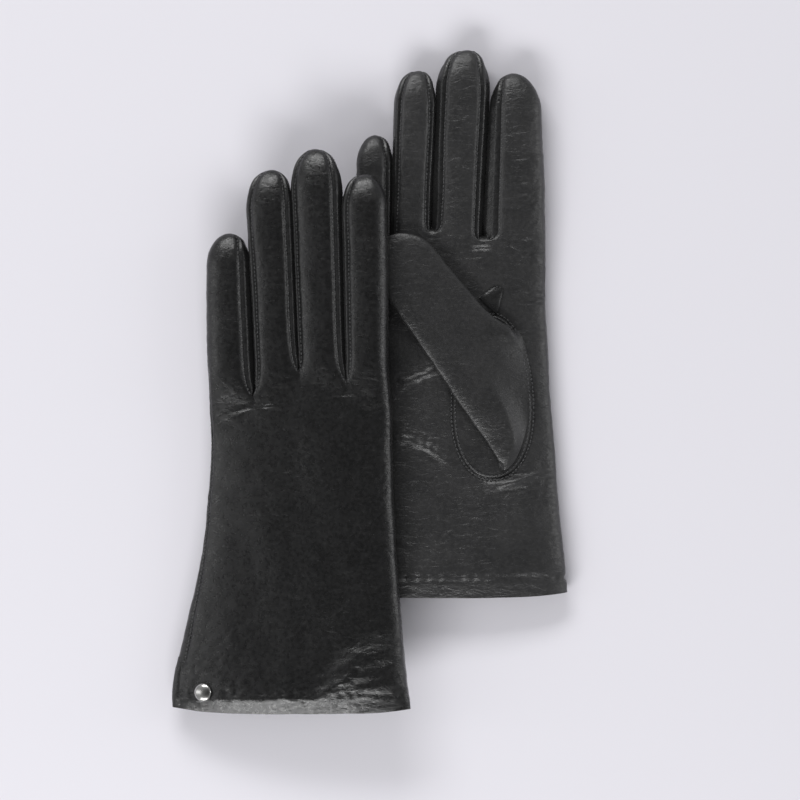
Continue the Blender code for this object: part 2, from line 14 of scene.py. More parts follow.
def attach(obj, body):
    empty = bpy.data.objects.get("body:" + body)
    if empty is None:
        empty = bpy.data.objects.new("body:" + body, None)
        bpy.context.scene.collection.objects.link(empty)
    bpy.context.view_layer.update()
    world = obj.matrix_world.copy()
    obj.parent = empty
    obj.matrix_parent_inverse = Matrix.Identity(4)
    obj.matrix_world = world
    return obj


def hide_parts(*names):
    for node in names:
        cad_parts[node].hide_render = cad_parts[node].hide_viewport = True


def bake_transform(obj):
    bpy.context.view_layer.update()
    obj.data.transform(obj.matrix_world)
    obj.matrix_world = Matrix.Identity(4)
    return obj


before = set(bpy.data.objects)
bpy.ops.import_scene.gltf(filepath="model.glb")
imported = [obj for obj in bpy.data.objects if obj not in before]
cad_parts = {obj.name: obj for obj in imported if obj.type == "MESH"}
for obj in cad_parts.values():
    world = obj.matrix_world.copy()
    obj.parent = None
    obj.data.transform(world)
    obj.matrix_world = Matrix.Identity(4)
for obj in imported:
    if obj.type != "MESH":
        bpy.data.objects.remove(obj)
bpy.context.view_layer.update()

MM = 0.001
LEATHER = 0.9
ROW_STEP = 0.85
FINGER_COLUMNS = 26
FULLNESS = 2.5
DOME_ROWS = 20
SIDE = 4.0
STITCH_PITCH = 1.8
SEAM_DEPTH = 0.80


class Finger:
    """root, top and tip are (x, y): at the hinge, where the rounded end begins, and the very tip."""

    def __init__(self, name, root, root_w, top, top_w, tip, insets, thick=13.0):
        self.name, self.root, self.root_w, self.top, self.top_w = name, root, root_w, top, top_w
        self.tip, self.insets, self.thick = tip, insets, thick


class Glove:
    def __init__(self, **values):
        self.__dict__.update(values)

    def matrix(self):
        return Matrix.Translation(self.location * MM) @ Matrix.Rotation(-self.tilt, 4, "Y")

    def world(self, points):
        """Points in this glove's frame, in mm, as points in the row frame, in metres."""
        m = np.array(self.matrix())
        return np.asarray(points) * MM @ m[:3, :3].T + m[:3, 3]

    def turn(self, vectors):
        return np.asarray(vectors) @ np.array(self.matrix())[:3, :3].T


LEFT = Glove(
    side="left",
    palm=-1,
    location=Vector((-30.2, -147.6, 11.6)),
    tilt=math.atan(0.155),
    outer=((0, -56.6), (6, -57.3), (17, -56.0), (24, -54.4), (36, -51.4), (45, -49.6), (55, -46.9),
           (66, -44.6), (82, -41.9), (103, -40.1), (119, -39.3), (140, -40.2), (160, -40.7), (260, -40.7)),
    thumb_side=((0, 51.0), (17, 49.2), (31, 47.4), (50, 45.7), (69, 44.6), (90, 43.2), (117, 42.4), (260, 42.4)),
    outer_fullness=2.2,
    gaps=(-19.4, 1.8, 23.2),
    crotch={-1: (150.0, 163.0, 160.0), 1: (141.0, 151.5, 147.0)},
    cap=(-41.6, 9.4),
    hinge_share=-0.50,
    fingers=(
        Finger("little", (-29.7, 155.0), 21.6, (-30.9, 200.0), 19.8, (-30.8, 213.6), (0.0, 4.4)),
        Finger("ring", (-9.3, 166.0), 20.2, (-12.2, 225.0), 21.3, (-11.4, 242.0), (2.6, 3.0)),
        Finger("middle", (11.4, 168.0), 21.6, (9.1, 233.5), 22.7, (8.0, 251.2), (1.5, 3.7)),
        Finger("index", (31.3, 164.0), 19.3, (30.4, 225.0), 20.5, (31.0, 240.0), (3.1, 0.0)),
    ),
)
RIGHT = Glove(
    side="right",
    palm=1,
    location=Vector((37.5, -96.3, 0.0)),
    tilt=0.0,
    outer=((0, -58.0), (10, -56.5), (25, -53.0), (45, -49.0), (65, -45.3), (85, -43.0), (105, -42.0), (260, -42.0)),
    thumb_side=((0, 52.1), (14, 51.0), (25, 49.7), (41, 47.9), (57, 47.0), (73, 45.7), (94, 43.9), (116, 42.6),
                (132, 41.8), (260, 41.6)),
    outer_fullness=1.9,
    gaps=(-26.0, -8.7, 14.0),
    crotch={-1: (135.0, 145.0, 141.0), 1: (150.0, 162.6, 159.0)},
    cap=(-41.5, 9.4),
    hinge_share=-0.62,
    fingers=(
        Finger("little", (-34.4, 149.0), 16.0, (-34.0, 193.0), 16.0, (-33.9, 206.5), (0.0, 3.2), 11.5),
        Finger("ring", (-17.9, 168.0), 18.2, (-16.2, 220.0), 18.9, (-14.2, 235.4), (2.8, 2.5)),
        Finger("middle", (2.7, 169.0), 23.4, (5.2, 226.5), 24.2, (7.3, 244.6), (4.4, 4.0)),
        Finger("index", (28.1, 166.0), 27.7, (28.5, 216.5), 23.4, (27.6, 234.0), (6.0, 0.0)),
    ),
)
BLEND_END = 21.0
OVAL = (18.3, 84.0, 17.6, 30.5, 42.0)


# ---------------------------------------------------------------- small maths


def lerp(a, b, t):
    return a + (b - a) * t


def smooth(t):
    t = np.clip(t, 0.0, 1.0)
    return t * t * (3 - 2 * t)


def signed_power(v, p):
    return np.sign(v) * np.abs(v) ** p


def soft_curve(points, spread=7.0):
    """A smooth function through roughly these (y, x) points."""
    ys = np.arange(-30.0, 291.0, 1.0)
    xs = np.interp(ys, [p[0] for p in points], [p[1] for p in points])
    taps = np.arange(-20, 21)
    weight = np.exp(-0.5 * (taps / spread * 2) ** 2)
    weight /= weight.sum()
    padded = np.concatenate([np.full(20, xs[0]), xs, np.full(20, xs[-1])])
    xs = np.convolve(padded, weight, mode="valid")
    return lambda y: np.interp(y, ys, xs)


for glove in (LEFT, RIGHT):
    glove.edge_low = soft_curve(glove.outer)
    glove.edge_high = soft_curve(glove.thumb_side)


def fbm(points, scale, octaves=3, seed=0.0):
    """Smooth noise at each point (mm), with features about scale mm wide, from -1 to 1."""
    shift = Vector((seed, seed * 0.37, -seed * 0.71))
    return np.array([noise.fractal(Vector(p) / scale + shift, 1.0, 2.0, octaves) for p in points])


# ---------------------------------------------------------------- the hand's and fingers' surface


def bulge(share, fullness):
    return np.maximum(0.0, 1 - np.minimum(1.0, np.abs(share)) ** fullness) ** (1 / fullness)


def hand_share(glove, x, y):
    low, high = glove.edge_low(y), glove.edge_high(y)
    return (2 * x - low - high) / (high - low)


def hand_x(glove, share, y):
    low, high = glove.edge_low(y), glove.edge_high(y)
    return (low + high) / 2 + share * (high - low) / 2


def hand_thickness(y):
    return 12.0 + 3.0 * np.maximum(0.0, 1 - y / 70.0) ** 1.5


def hand_height(glove, x, y, face):
    share = hand_share(glove, x, y)
    if face > 0:
        fullness = np.where(share < 0, glove.outer_fullness, 3.0)
        drop = hem_drop(glove, x, y) * (1.0 if glove.palm < 0 else 0.45)
        return SIDE + (hand_thickness(y) - drop - SIDE) * bulge(share, fullness)
    lift = 0.0
    if glove.palm > 0:
        lift = 2.4 * smooth((-share - 0.4) / 0.2) * smooth((40 - y) / 16)
    rounded = SIDE - (SIDE + 0.25) * bulge(share, 4.5)
    return np.maximum(np.minimum(lift, SIDE), rounded)


def seam_share(finger, which):
    """Where a seam lies across a finger: 0 is its middle and 1 its edge."""
    half = (finger.root_w + finger.top_w) / 4
    return 1 - finger.insets[which] / half


def seam_at(finger, which, shrink):
    """The seam's place across the finger, drawing out to the finger's side as it nears the tip."""
    if finger.insets[which] == 0:
        return np.ones_like(shrink)
    return lerp(seam_share(finger, which), 0.985, smooth((0.97 - shrink) / 0.75))


def column_shares(finger, shrink):
    """Stations across the upper or lower leather from seam to seam, closer at the edges: (rows, columns)."""
    low, high = -seam_at(finger, 0, shrink), seam_at(finger, 1, shrink)
    a = np.arccos(signed_power(low, FULLNESS / 2))
    b = np.arccos(signed_power(high, FULLNESS / 2))
    place = np.linspace(0, 1, FINGER_COLUMNS + 1)
    angles = a[:, None] + (b - a)[:, None] * place[None, :]
    shares = signed_power(np.cos(angles), 2 / FULLNESS)
    shares[:, 0], shares[:, -1] = low, high
    return shares


def finger_frame(finger, y, shrink):
    """Middle x and half width of a finger at y."""
    t = np.clip((y - finger.root[1]) / (finger.top[1] - finger.root[1]), -0.5, 1.0)
    middle = lerp(finger.root[0], finger.top[0], t)
    middle = lerp(middle, finger.tip[0], 1 - shrink)
    half = lerp(finger.root_w, finger.top_w, np.clip(t, 0, 1)) / 2
    return middle, half * shrink


def opening(y, crotch, face_is_palm):
    """How far a slit has opened at y: a V up the back of the hand and a U on the palm."""
    d = np.maximum(0.0, y - crotch)
    if face_is_palm:
        t = np.minimum(1.0, d / 5.0)
        return np.sqrt(1 - (1 - t) ** 2)
    return 1 - np.exp(-(d / 5.0) ** 1.1)


def finger_rows(finger):
    """(y, shrink) of each row of grid points, up to the fingertip."""
    straight = np.arange(0.0, finger.top[1], ROW_STEP)
    angles = np.linspace(0.0, math.pi / 2, DOME_ROWS + 1)[1:]
    start = straight[-1]
    dome_y = start + (finger.tip[1] - start) * np.sin(angles)
    dome_s = np.cos(angles) ** 1.05
    dome_s[-1] = 0.0
    return np.concatenate([straight, dome_y]), np.concatenate([np.ones(len(straight)), dome_s])


def snap(y):
    return round(y / ROW_STEP) * ROW_STEP


def gap_x(glove, gap, y):
    """The line between two neighbouring fingers, carried down into the hand."""
    here = glove.gaps[gap]
    share = hand_share(glove, here, 150.0)
    return np.where(y > 150.0, here, hand_x(glove, share, y))


def strip(glove, index, face):
    """Grid points (rows, columns, 3) of one finger's leather and the hand below it, on one face."""
    finger = glove.fingers[index]
    rows, shrink = finger_rows(finger)
    shares = column_shares(finger, shrink)
    place = (shares - shares[:, :1]) / (shares[:, -1:] - shares[:, :1])
    palm_face = face == glove.palm
    crotches = [snap(c) for c in glove.crotch[face]]
    low_crotch = crotches[index - 1] if index > 0 else crotches[0]
    high_crotch = crotches[index] if index < 3 else crotches[2]
    middle, half = finger_frame(finger, rows, shrink)

    knuckle = smooth((rows - 128.0) / 30.0)
    if index > 0:
        low_hand = gap_x(glove, index - 1, rows)
        low = lerp(low_hand, middle + half * shares[:, 0], opening(rows, low_crotch, palm_face))
    else:
        low_hand = glove.edge_low(rows)
        low = lerp(low_hand, middle - half, knuckle)
    if index < 3:
        high_hand = gap_x(glove, index, rows)
        high = lerp(high_hand, middle + half * shares[:, -1], opening(rows, high_crotch, palm_face))
    else:
        high_hand = glove.edge_high(rows)
        high = lerp(high_hand, middle + half, knuckle)

    x = low[:, None] + (high - low)[:, None] * place
    xh = low_hand[:, None] + (high_hand - low_hand)[:, None] * place
    y = np.repeat(rows[:, None], shares.shape[1], axis=1)
    z_hand = hand_height(glove, xh, y, face)
    profile = np.maximum(0.0, 1 - np.abs(shares) ** FULLNESS) ** (1 / FULLNESS)
    z_finger = finger.thick / 2 + face * finger.thick / 2 * profile * shrink[:, None] ** 0.9
    knuckle_y = lerp(low_crotch, high_crotch, place)
    # the change is slower at the hand's two sides, where there is more to make up
    outward = (1 - place) if index == 0 else place if index == 3 else 0.0 * place
    t = smooth((y - (knuckle_y - 7.0 - 19.0 * outward)) / (16.0 + 20.0 * outward))
    z = lerp(z_hand, z_finger, t)

    # the leather turns down into the seams
    for which, crotch, column in ((0, low_crotch, 0), (1, high_crotch, -1)):
        if finger.insets[which]:
            far = np.abs(x - x[:, [column]])
            drawn = opening(rows, crotch, palm_face) * smooth((shrink - 0.12) / 0.7)
            z = z - face * SEAM_DEPTH * drawn[:, None] * np.exp(-((far / 0.85) ** 2))

    # rounded corners of the hem
    share = np.clip(hand_share(glove, xh, y), -1, 1)
    y = y + 2.4 * np.abs(share) ** 4 * np.clip(1 - y / 22.0, 0, 1)
    return np.stack([x, y, z], axis=-1), rows, shares, (low_crotch, high_crotch)


def vent_edge(y):
    """How far inside the glove's outline the vent's free edge lies."""
    return np.interp(y, (0.0, 6.0, 14.0, 21.0, 23.0), (4.7, 4.2, 3.6, 2.9, 2.2))


def open_vent(glove, points, face):
    """Draws the back's leather away from the little finger edge below the vent's top."""
    if face == glove.palm:
        return points
    x, y, z = points[..., 0], points[..., 1], points[..., 2]
    edge = glove.edge_low(y)
    free = edge + vent_edge(y)
    reach = edge + 14.0
    moved = free + (x - edge) * (reach - free) / (reach - edge)
    inside = (y < 22.6) & (x < reach)
    new_x = np.where(inside, moved, x)
    new_z = np.where(inside, hand_height(glove, new_x, y, face), z)
    return np.stack([new_x, y, new_z], axis=-1)


# ---------------------------------------------------------------- leather detail


def crease(p, x, y, angle, length, width, depth):
    """A soft fold: a shallow valley with a raised lip on each side."""
    a = math.radians(angle)
    dx, dy = p[:, 0] - x, p[:, 1] - y
    along = dx * math.cos(a) + dy * math.sin(a)
    across = -dx * math.sin(a) + dy * math.cos(a) + 0.012 * along**2
    fade = np.exp(-((along / length) ** 4))
    t = across / width
    return depth * fade * (1.0 - 1.6 * t * t) * np.exp(-t * t)


def crinkle(p, x, y, angle, length, width, depth, seed):
    """A patch of many short, fine folds running at this angle."""
    a = math.radians(angle)
    dx, dy = p[:, 0] - x, p[:, 1] - y
    along = dx * math.cos(a) + dy * math.sin(a)
    across = -dx * math.sin(a) + dy * math.cos(a)
    mask = np.exp(-((along / length) ** 2) - (across / width) ** 2)
    out = np.zeros(len(p))
    near = np.flatnonzero(mask > 0.03)
    folds = fbm(np.stack([along[near] / 2.4, across[near], p[near, 2]], -1), 1.5, 3, seed)
    out[near] = 0.7 * depth * mask[near] * np.clip(1.3 * folds, -0.6, 0.6)
    return out


CREASES = {
    "left": (
        (-18.0, 136.5, 6, 12, 1.1, 0.34), (-9.5, 137.5, 18, 8, 0.9, 0.22), (3.0, 147.5, 6, 7, 0.9, 0.20),
        (22.0, 142.0, 4, 7, 1.0, 0.22), (-31.0, 147.0, -40, 8, 1.2, 0.18),
        (33.0, 25.0, 24, 24, 8.5, 1.15), (24.0, 15.0, 18, 16, 3.0, 0.45),
    ),
    "right": (
        (34.0, 137.0, 8, 8, 1.1, 0.30), (-5.0, 159.4, 3, 6, 0.8, 0.22), (13.6, 156.0, 2, 5, 1.2, 0.80),
        (-14.0, 99.0, 25, 11, 2.4, 0.70), (-12.5, 68.0, -25, 13, 2.5, 0.75), (31.0, 53.0, 18, 14, 2.2, 0.80),
        (38.5, 132.3, 3, 6, 2.0, 0.60), (36.0, 118.0, 5, 7, 1.9, 0.35), (25.5, 51.6, 10, 8, 3.0, 1.30),
    ),
}
CRINKLES = {
    "left": (
        (30.0, 19.0, 30, 26, 12, 0.52), (14.0, 6.0, 4, 34, 5, 0.42), (37.0, 90.0, 85, 60, 4, 0.30),
        (-38.0, 24.0, 60, 16, 8, 0.50), (-16.0, 137.0, 8, 14, 4, 0.26), (22.0, 143.0, 4, 12, 4, 0.22),
        (-24.0, 11.0, 0, 26, 5, 0.45), (33.0, 190.0, 20, 9, 22, 0.14), (-12.0, 195.0, 10, 9, 22, 0.12),
        (9.0, 200.0, 4, 9, 24, 0.12),
    ),
    "right": (
        (-16.0, 99.0, 26, 14, 5.5, 0.75), (-14.0, 70.0, -22, 15, 6.0, 0.80), (30.0, 52.0, 18, 17, 5.0, 0.95),
        (38.0, 133.0, 6, 9, 4.0, 0.65), (36.0, 47.0, 12, 10, 9.0, 0.50), (34.0, 150.0, 12, 9, 12, 0.55),
        (34.0, 182.0, 10, 8, 24, 0.60), (33.0, 208.0, 0, 9, 14, 0.40), (6.0, 152.0, 0, 14, 4, 0.40),
        (5.0, 190.0, 6, 9, 26, 0.30), (-17.0, 195.0, 8, 8, 26, 0.26), (4.0, 26.0, 6, 40, 14, 0.42),
        (20.0, 118.0, 10, 18, 5, 0.35),
    ),
}


def leather_detail(glove, p, n):
    """How far each point of the leather stands in or out, in mm."""
    out = 0.55 * fbm(p * np.array([1.0, 0.8, 1.0]), 24.0, 2, 3.1 if glove.palm < 0 else 9.4)
    out += 0.14 * fbm(p * np.array([1.0, 1.5, 1.0]), 6.0, 3, 5.7)
    up = np.clip(n[:, 2], 0, 1)
    total = np.zeros(len(p))
    for item in CREASES[glove.side]:
        total += crease(p, *item)
    for k, item in enumerate(CRINKLES[glove.side]):
        total += crinkle(p, *item, 10.0 + 3.7 * k)
    out += up * total
    # the palm's leather dips into the seam round the thumb
    far = oval_distance(p[:, 0], p[:, 1])
    out -= np.clip(n[:, 2] * glove.palm, 0, 1) * 0.7 * np.exp(-(((far - 0.6) / 0.8) ** 2))
    # the turned hem is double, with a row of tacks holding it up
    out += (0.10 if glove.palm < 0 else 0.22) * smooth((8.6 - p[:, 1]) / 1.6)
    tack = ((p[:, 0] + 2.6) % 5.2) - 2.6
    sunk = 0.42 if glove.palm < 0 else 0.85
    out -= sunk * np.exp(-((tack / 1.3) ** 2) - (((p[:, 1] - 9.0) / 1.2) ** 2))
    if glove.palm < 0:
        # the leather is drawn down round the press stud
        d = np.hypot(p[:, 0] - glove.cap[0], p[:, 1] - glove.cap[1])
        out -= up * 0.55 * np.exp(-((d / 6.5) ** 2))
        # the seam down the little finger side, which strays in from the edge towards the hem
        inset = p[:, 0] - glove.edge_low(p[:, 1]) - seam_inset(glove, p[:, 1])
        along = smooth((p[:, 1] - 20) / 3) * smooth((156 - p[:, 1]) / 10) * np.clip(n[:, 2] + 0.6, 0, 1)
        out -= along * (0.95 * np.exp(-((inset / 0.6) ** 2)) + 0.35 * smooth(-inset / 0.8))
    return out


def seam_inset(glove, y):
    """How far in from the glove's outline the seam down the little finger side runs, in mm."""
    if glove.palm > 0:
        return 0.7 + 0.0 * y
    return np.interp(y, (0.0, 24.0, 50.0, 80.0, 150.0), (4.3, 4.1, 2.7, 1.2, 0.7))


def oval_distance(x, y):
    """Roughly how far outside the thumb's oval seam each point lies, in mm."""
    cx, cy, rx, ry_low, ry_high = OVAL
    dx, dy = x - cx, y - cy
    power = np.where(dy < 0, 2.25, 2.0)
    size = (np.abs(dx / rx) ** power + np.abs(dy / np.where(dy < 0, ry_low, ry_high)) ** power) ** (1 / power)
    return (size - 1) * np.hypot(dx, dy) / np.maximum(size, 0.05)


def hem_drop(glove, x, y):
    """How far the back's leather rolls down towards the hem, in mm."""
    line = np.interp(x, (-60.0, 8.0, 30.0, 50.0), (6.8, 7.8, 12.0, 15.0))
    slope = np.interp(x, (8.0, 50.0), (0.53, 0.43))
    below, ease = np.maximum(0.0, line - y), 2.2
    return slope * np.where(below < ease, below**2 / (2 * ease), below - ease / 2)


# ---------------------------------------------------------------- meshes


def new_object(name, verts, faces, material, normals=None):
    """verts in metres in the row frame. normals, if given, are one per vertex or None where flat."""
    mesh = bpy.data.meshes.new(name)
    mesh.from_pydata([tuple(v) for v in verts], [], [tuple(int(i) for i in f) for f in faces])
    mesh.materials.append(material)
    mesh.polygons.foreach_set("use_smooth", [True] * len(mesh.polygons))
    mesh.update()
    if normals is not None:
        loops = np.empty(len(mesh.loops), dtype=np.int64)
        mesh.loops.foreach_get("vertex_index", loops)
        mesh.normals_split_custom_set([tuple(normals[i]) for i in loops])
    obj = bpy.data.objects.new(name, mesh)
    bpy.context.scene.collection.objects.link(obj)
    return obj


def vertex_normals(verts, faces):
    """Area-weighted vertex normals of triangles and quads."""
    total = np.zeros_like(verts)
    for size in (3, 4):
        group = np.array([f for f in faces if len(f) == size], dtype=np.int64).reshape(-1, size)
        if not len(group):
            continue
        a = verts[group[:, 2 if size == 4 else 1]] - verts[group[:, 0]]
        b = verts[group[:, 3 if size == 4 else 2]] - verts[group[:, 1 if size == 4 else 0]]
        face_n = np.cross(a, b)
        for k in range(size):
            np.add.at(total, group[:, k], face_n)
    length = np.linalg.norm(total, axis=1, keepdims=True)
    return total / np.maximum(length, 1e-12)


def boundary_edges(faces):
    seen = {}
    for f in faces:
        for a, b in zip(f, list(f[1:]) + [f[0]]):
            key = (b, a)
            if key in seen:
                del seen[key]
            else:
                seen[(a, b)] = True
    return list(seen)


def shell(name, verts, faces, normals, thickness, material):
    """A closed skin: the outer faces, the same faces thickness mm further in, and the edge between."""
    used = sorted({int(i) for f in faces for i in f})
    index = {old: new for new, old in enumerate(used)}
    outer = verts[used]
    inner = outer - normals[used] * thickness * MM
    count = len(used)
    quads = [[index[int(i)] for i in f] for f in faces]
    backs = [[i + count for i in reversed(f)] for f in quads]
    rim_v, rim_f, rim_n = [], [], []
    for a, b in boundary_edges(quads):
        pa, pb = outer[a], outer[b]
        out = np.cross(pb - pa, normals[used[a]] + normals[used[b]])
        out /= max(np.linalg.norm(out), 1e-12)
        rim_f.append([b, a, a + count, b + count])
        rim_n.append(out)
    all_v = np.vstack([outer, inner])
    all_f = quads + backs + rim_f
    mesh = bpy.data.meshes.new(name)
    mesh.from_pydata([tuple(v) for v in all_v], [], all_f)
    mesh.materials.append(material)
    mesh.polygons.foreach_set("use_smooth", [True] * len(mesh.polygons))
    mesh.update()
    n_outer = normals[used]
    loop_n = []
    for f in quads:
        loop_n.extend(n_outer[i] for i in f)
    for f in backs:
        loop_n.extend(-n_outer[i - count] for i in f)
    for f, n in zip(rim_f, rim_n):
        loop_n.extend([n] * 4)
    mesh.normals_split_custom_set([tuple(n) for n in loop_n])
    obj = bpy.data.objects.new(name, mesh)
    bpy.context.scene.collection.objects.link(obj)
    return obj


def grid_faces(rows, columns, offset=0, flip=False):
    faces = []
    for r in range(rows - 1):
        for c in range(columns - 1):
            a = offset + r * columns + c
            quad = [a, a + 1, a + 1 + columns, a + columns]
            faces.append(quad[::-1] if flip else quad)
    return faces


class Skin:
    """All the palm's and back's leather of one glove as one surface, to be cut into pieces later."""

    def __init__(self, glove):
        self.glove = glove
        points, faces, tags = [], [], []
        self.grids = {}
        offset = 0
        for face in (1, -1):
            strips = [strip(glove, i, face) for i in range(4)]
            for i in range(3):
                a, b = strips[i][0], strips[i + 1][0]
                crotch = strips[i][3][1]
                shared = int(round(crotch / ROW_STEP)) + 1
                mean = (a[:shared, -1] + b[:shared, 0]) / 2
                a[:shared, -1] = mean
                b[:shared, 0] = mean
            for i, (p, rows, shares, _) in enumerate(strips):
                p = open_vent(glove, p, face)
                strips[i] = p
                r, c = p.shape[:2]
                self.grids[(face, i)] = (offset, r, c)
                points.append(p.reshape(-1, 3))
                for row in range(r - 1):
                    for col in range(c - 1):
                        k = offset + row * c + col
                        quad = [k, k + 1, k + 1 + c, k + c]
                        faces.append(quad if face > 0 else quad[::-1])
                        centre = p[row, col] + p[row + 1, col + 1]
                        tags.append(self.tag(face, i, centre / 2))
                offset += r * c
        points = np.vstack(points)
        _, first, inverse = np.unique(np.round(points, 3), axis=0, return_index=True, return_inverse=True)
        inverse = inverse.reshape(-1)
        self.points = points[first]
        self.lookup = inverse
        merged, kept = [], []
        for f, tag in zip(faces, tags):
            g = []
            for i in f:
                j = int(inverse[i])
                if j not in g:
                    g.append(j)
            if len(g) >= 3:
                merged.append(g)
                kept.append(tag)
        self.faces, self.tags = merged, kept

    def tag(self, face, index, centre):
        glove = self.glove
        if face != glove.palm and centre[1] < 22.3:
            if hand_share(glove, centre[0], centre[1]) < glove.hinge_share:
                return "vent"
        finger = glove.fingers[index]
        return finger.name if centre[1] > blend_start(glove, index) - 1.0 else "hand"

    def finish(self):
        normals = vertex_normals(self.points, self.faces)
        self.points = self.points + normals * leather_detail(self.glove, self.points, normals)[:, None]
        self.normals = vertex_normals(self.points, self.faces)

    def grid(self, face, index, what="points"):
        offset, r, c = self.grids[(face, index)]
        source = self.points if what == "points" else self.normals
        return source[self.lookup[offset : offset + r * c]].reshape(r, c, 3)

    def piece(self, tag, name, material):
        faces = [f for f, t in zip(self.faces, self.tags) if t == tag]
        return shell(
            name, self.glove.world(self.points), faces, self.glove.turn(self.normals), LEATHER, material
        )


def blend_start(glove, index):
    """Where a finger's leather is clear of its neighbours on both faces."""
    both = []
    for face in (1, -1):
        crotches = glove.crotch[face]
        if index > 0:
            both.append(crotches[index - 1])
        if index < 3:
            both.append(crotches[index])
    return snap(max(both)) + 0.2


def crotch_of(glove, face, gap):
    return snap(glove.crotch[face][gap])


def wall(glove, skin, index, which):
    """One fourchette: from a finger's upper seam to its lower seam, out to the finger's side."""
    finger = glove.fingers[index]
    gap = index - 1 if which == 0 else index
    column = 0 if which == 0 else -1
    sign = -1.0 if which == 0 else 1.0
    curves = []
    for face in (1, -1):
        grid = skin.grid(face, index)
        normal = skin.grid(face, index, "normals")
        start = int(round(crotch_of(glove, face, gap) / ROW_STEP))
        line = grid[start:, column] - normal[start:, column] * 0.45
        length = np.concatenate([[0], np.cumsum(np.linalg.norm(np.diff(line, axis=0), axis=1))])
        curves.append((line, length))
    steps = 96
    t = np.linspace(0, 1, steps)
    top = np.stack([np.interp(t * curves[0][1][-1], curves[0][1], curves[0][0][:, k]) for k in range(3)], -1)
    low = np.stack([np.interp(t * curves[1][1][-1], curves[1][1], curves[1][0][:, k]) for k in range(3)], -1)
    across = 23
    u = np.linspace(0, 1, across)
    base = top[:, None] * (1 - u)[None, :, None] + low[:, None] * u[None, :, None]
    y = base[..., 1]
    rows, shrink = finger_rows(finger)
    scale = np.interp(y, rows, shrink)
    middle, half = finger_frame(finger, y, scale)
    side = middle + sign * half
    share = seam_at(finger, which, scale)
    height = np.abs(2 * u - 1)[None, :] * (1 - share**FULLNESS) ** (1 / FULLNESS)
    shape = ((1 - height**FULLNESS) ** (1 / FULLNESS) - share) / (1 - share)
    x = base[..., 0] + (side - base[..., 0]) * shape
    points = np.stack([x, base[..., 1], base[..., 2]], axis=-1)
    points = points.reshape(-1, 3)
    faces = grid_faces(steps, across, flip=which == 0)
    normals = vertex_normals(points, faces)
    # it swells again beside each seam, and lies flat against its neighbour between them
    rows_of = points.reshape(steps, across, 3)
    along = np.cumsum(np.linalg.norm(np.diff(rows_of, axis=1), axis=2), axis=1)
    along = np.concatenate([np.zeros((steps, 1)), along], axis=1)
    near = np.minimum(along, along[:, -1:] - along)
    swell = SEAM_DEPTH * smooth(near / 1.1) * smooth((4.2 - near) / 2.6) * smooth(t / 0.06)[:, None]
    swell *= smooth((scale - 0.12) / 0.7)
    uneven = 0.12 * fbm(points, 9.0, 2, 21.0 + index)
    points = points + normals * (swell.reshape(-1) + uneven)[:, None]
    normals = vertex_normals(points, faces)
    return points, faces, normals


# ---------------------------------------------------------------- stitches


def thread_mesh(paths, radius, length, sides=5):
    """Short threads: paths is a list of (centre, direction, normal) in mm."""
    verts, faces = [], []
    rings = ((-0.5, 0.35), (-0.28, 0.95), (0.28, 0.95), (0.5, 0.35))
    for centre, direction, normal in paths:
        d = direction / max(np.linalg.norm(direction), 1e-9)
        n = normal - d * np.dot(normal, d)
        n /= max(np.linalg.norm(n), 1e-9)
        s = np.cross(d, n)
        base = len(verts)
        for along, size in rings:
            for k in range(sides):
                a = 2 * math.pi * k / sides
                sink = -0.25 * radius if abs(along) > 0.4 else 0.0
                verts.append(
                    centre + d * along * length
                    + (s * math.cos(a) * 1.25 + n * math.sin(a)) * radius * size
                    + n * sink
                )
        for r in range(len(rings) - 1):
            for k in range(sides):
                a, b = base + r * sides + k, base + r * sides + (k + 1) % sides
                faces.append([a, b, b + sides, a + sides])
        faces.append([base + k for k in reversed(range(sides))])
        top = base + (len(rings) - 1) * sides
        faces.append([top + k for k in range(sides)])
    return np.array(verts), faces


def stitches_along(line, normals, pitch=STITCH_PITCH, lift=0.06):
    """(centre, direction, normal) of stitches spaced evenly along a line."""
    step = np.linalg.norm(np.diff(line, axis=0), axis=1)
    length = np.concatenate([[0], np.cumsum(step)])
    count = int(length[-1] // pitch)
    found = []
    for k in range(count):
        s = (k + 0.5) * pitch
        p = np.array([np.interp(s, length, line[:, i]) for i in range(3)])
        q = np.array([np.interp(s + 0.4, length, line[:, i]) for i in range(3)])
        n = np.array([np.interp(s, length, normals[:, i]) for i in range(3)])
        found.append((p + n * lift, q - p, n))
    return found


def finger_stitches(glove, skin, index):
    """A row of stitches just inside each seam of a finger, on both faces."""
    finger = glove.fingers[index]
    found = []
    for face in (1, -1):
        grid, normal = skin.grid(face, index), skin.grid(face, index, "normals")
        for which, column, inward in ((0, 0, 1), (1, -1, -2)):
            if finger.insets[which] == 0:
                continue
            gap = index - 1 if which == 0 else index
            start = int(round(crotch_of(glove, face, gap) / ROW_STEP)) + 1
            edge = grid[start:-3, column]
            inner = grid[start:-3, 3 if column == 0 else -4]
            way = inner - edge
            way /= np.maximum(np.linalg.norm(way, axis=1, keepdims=True), 1e-6)
            width = np.linalg.norm(inner - edge, axis=1, keepdims=True)
            line = edge + way * np.minimum(0.45, 0.6 * width)
            found += stitches_along(line, normal[start:-3, column])
    return found


# ---------------------------------------------------------------- materials


def new_material(name):
    material = bpy.data.materials.new(name)
    material.use_nodes = True
    nodes, links = material.node_tree.nodes, material.node_tree.links
    return material, nodes, links, nodes["Principled BSDF"]


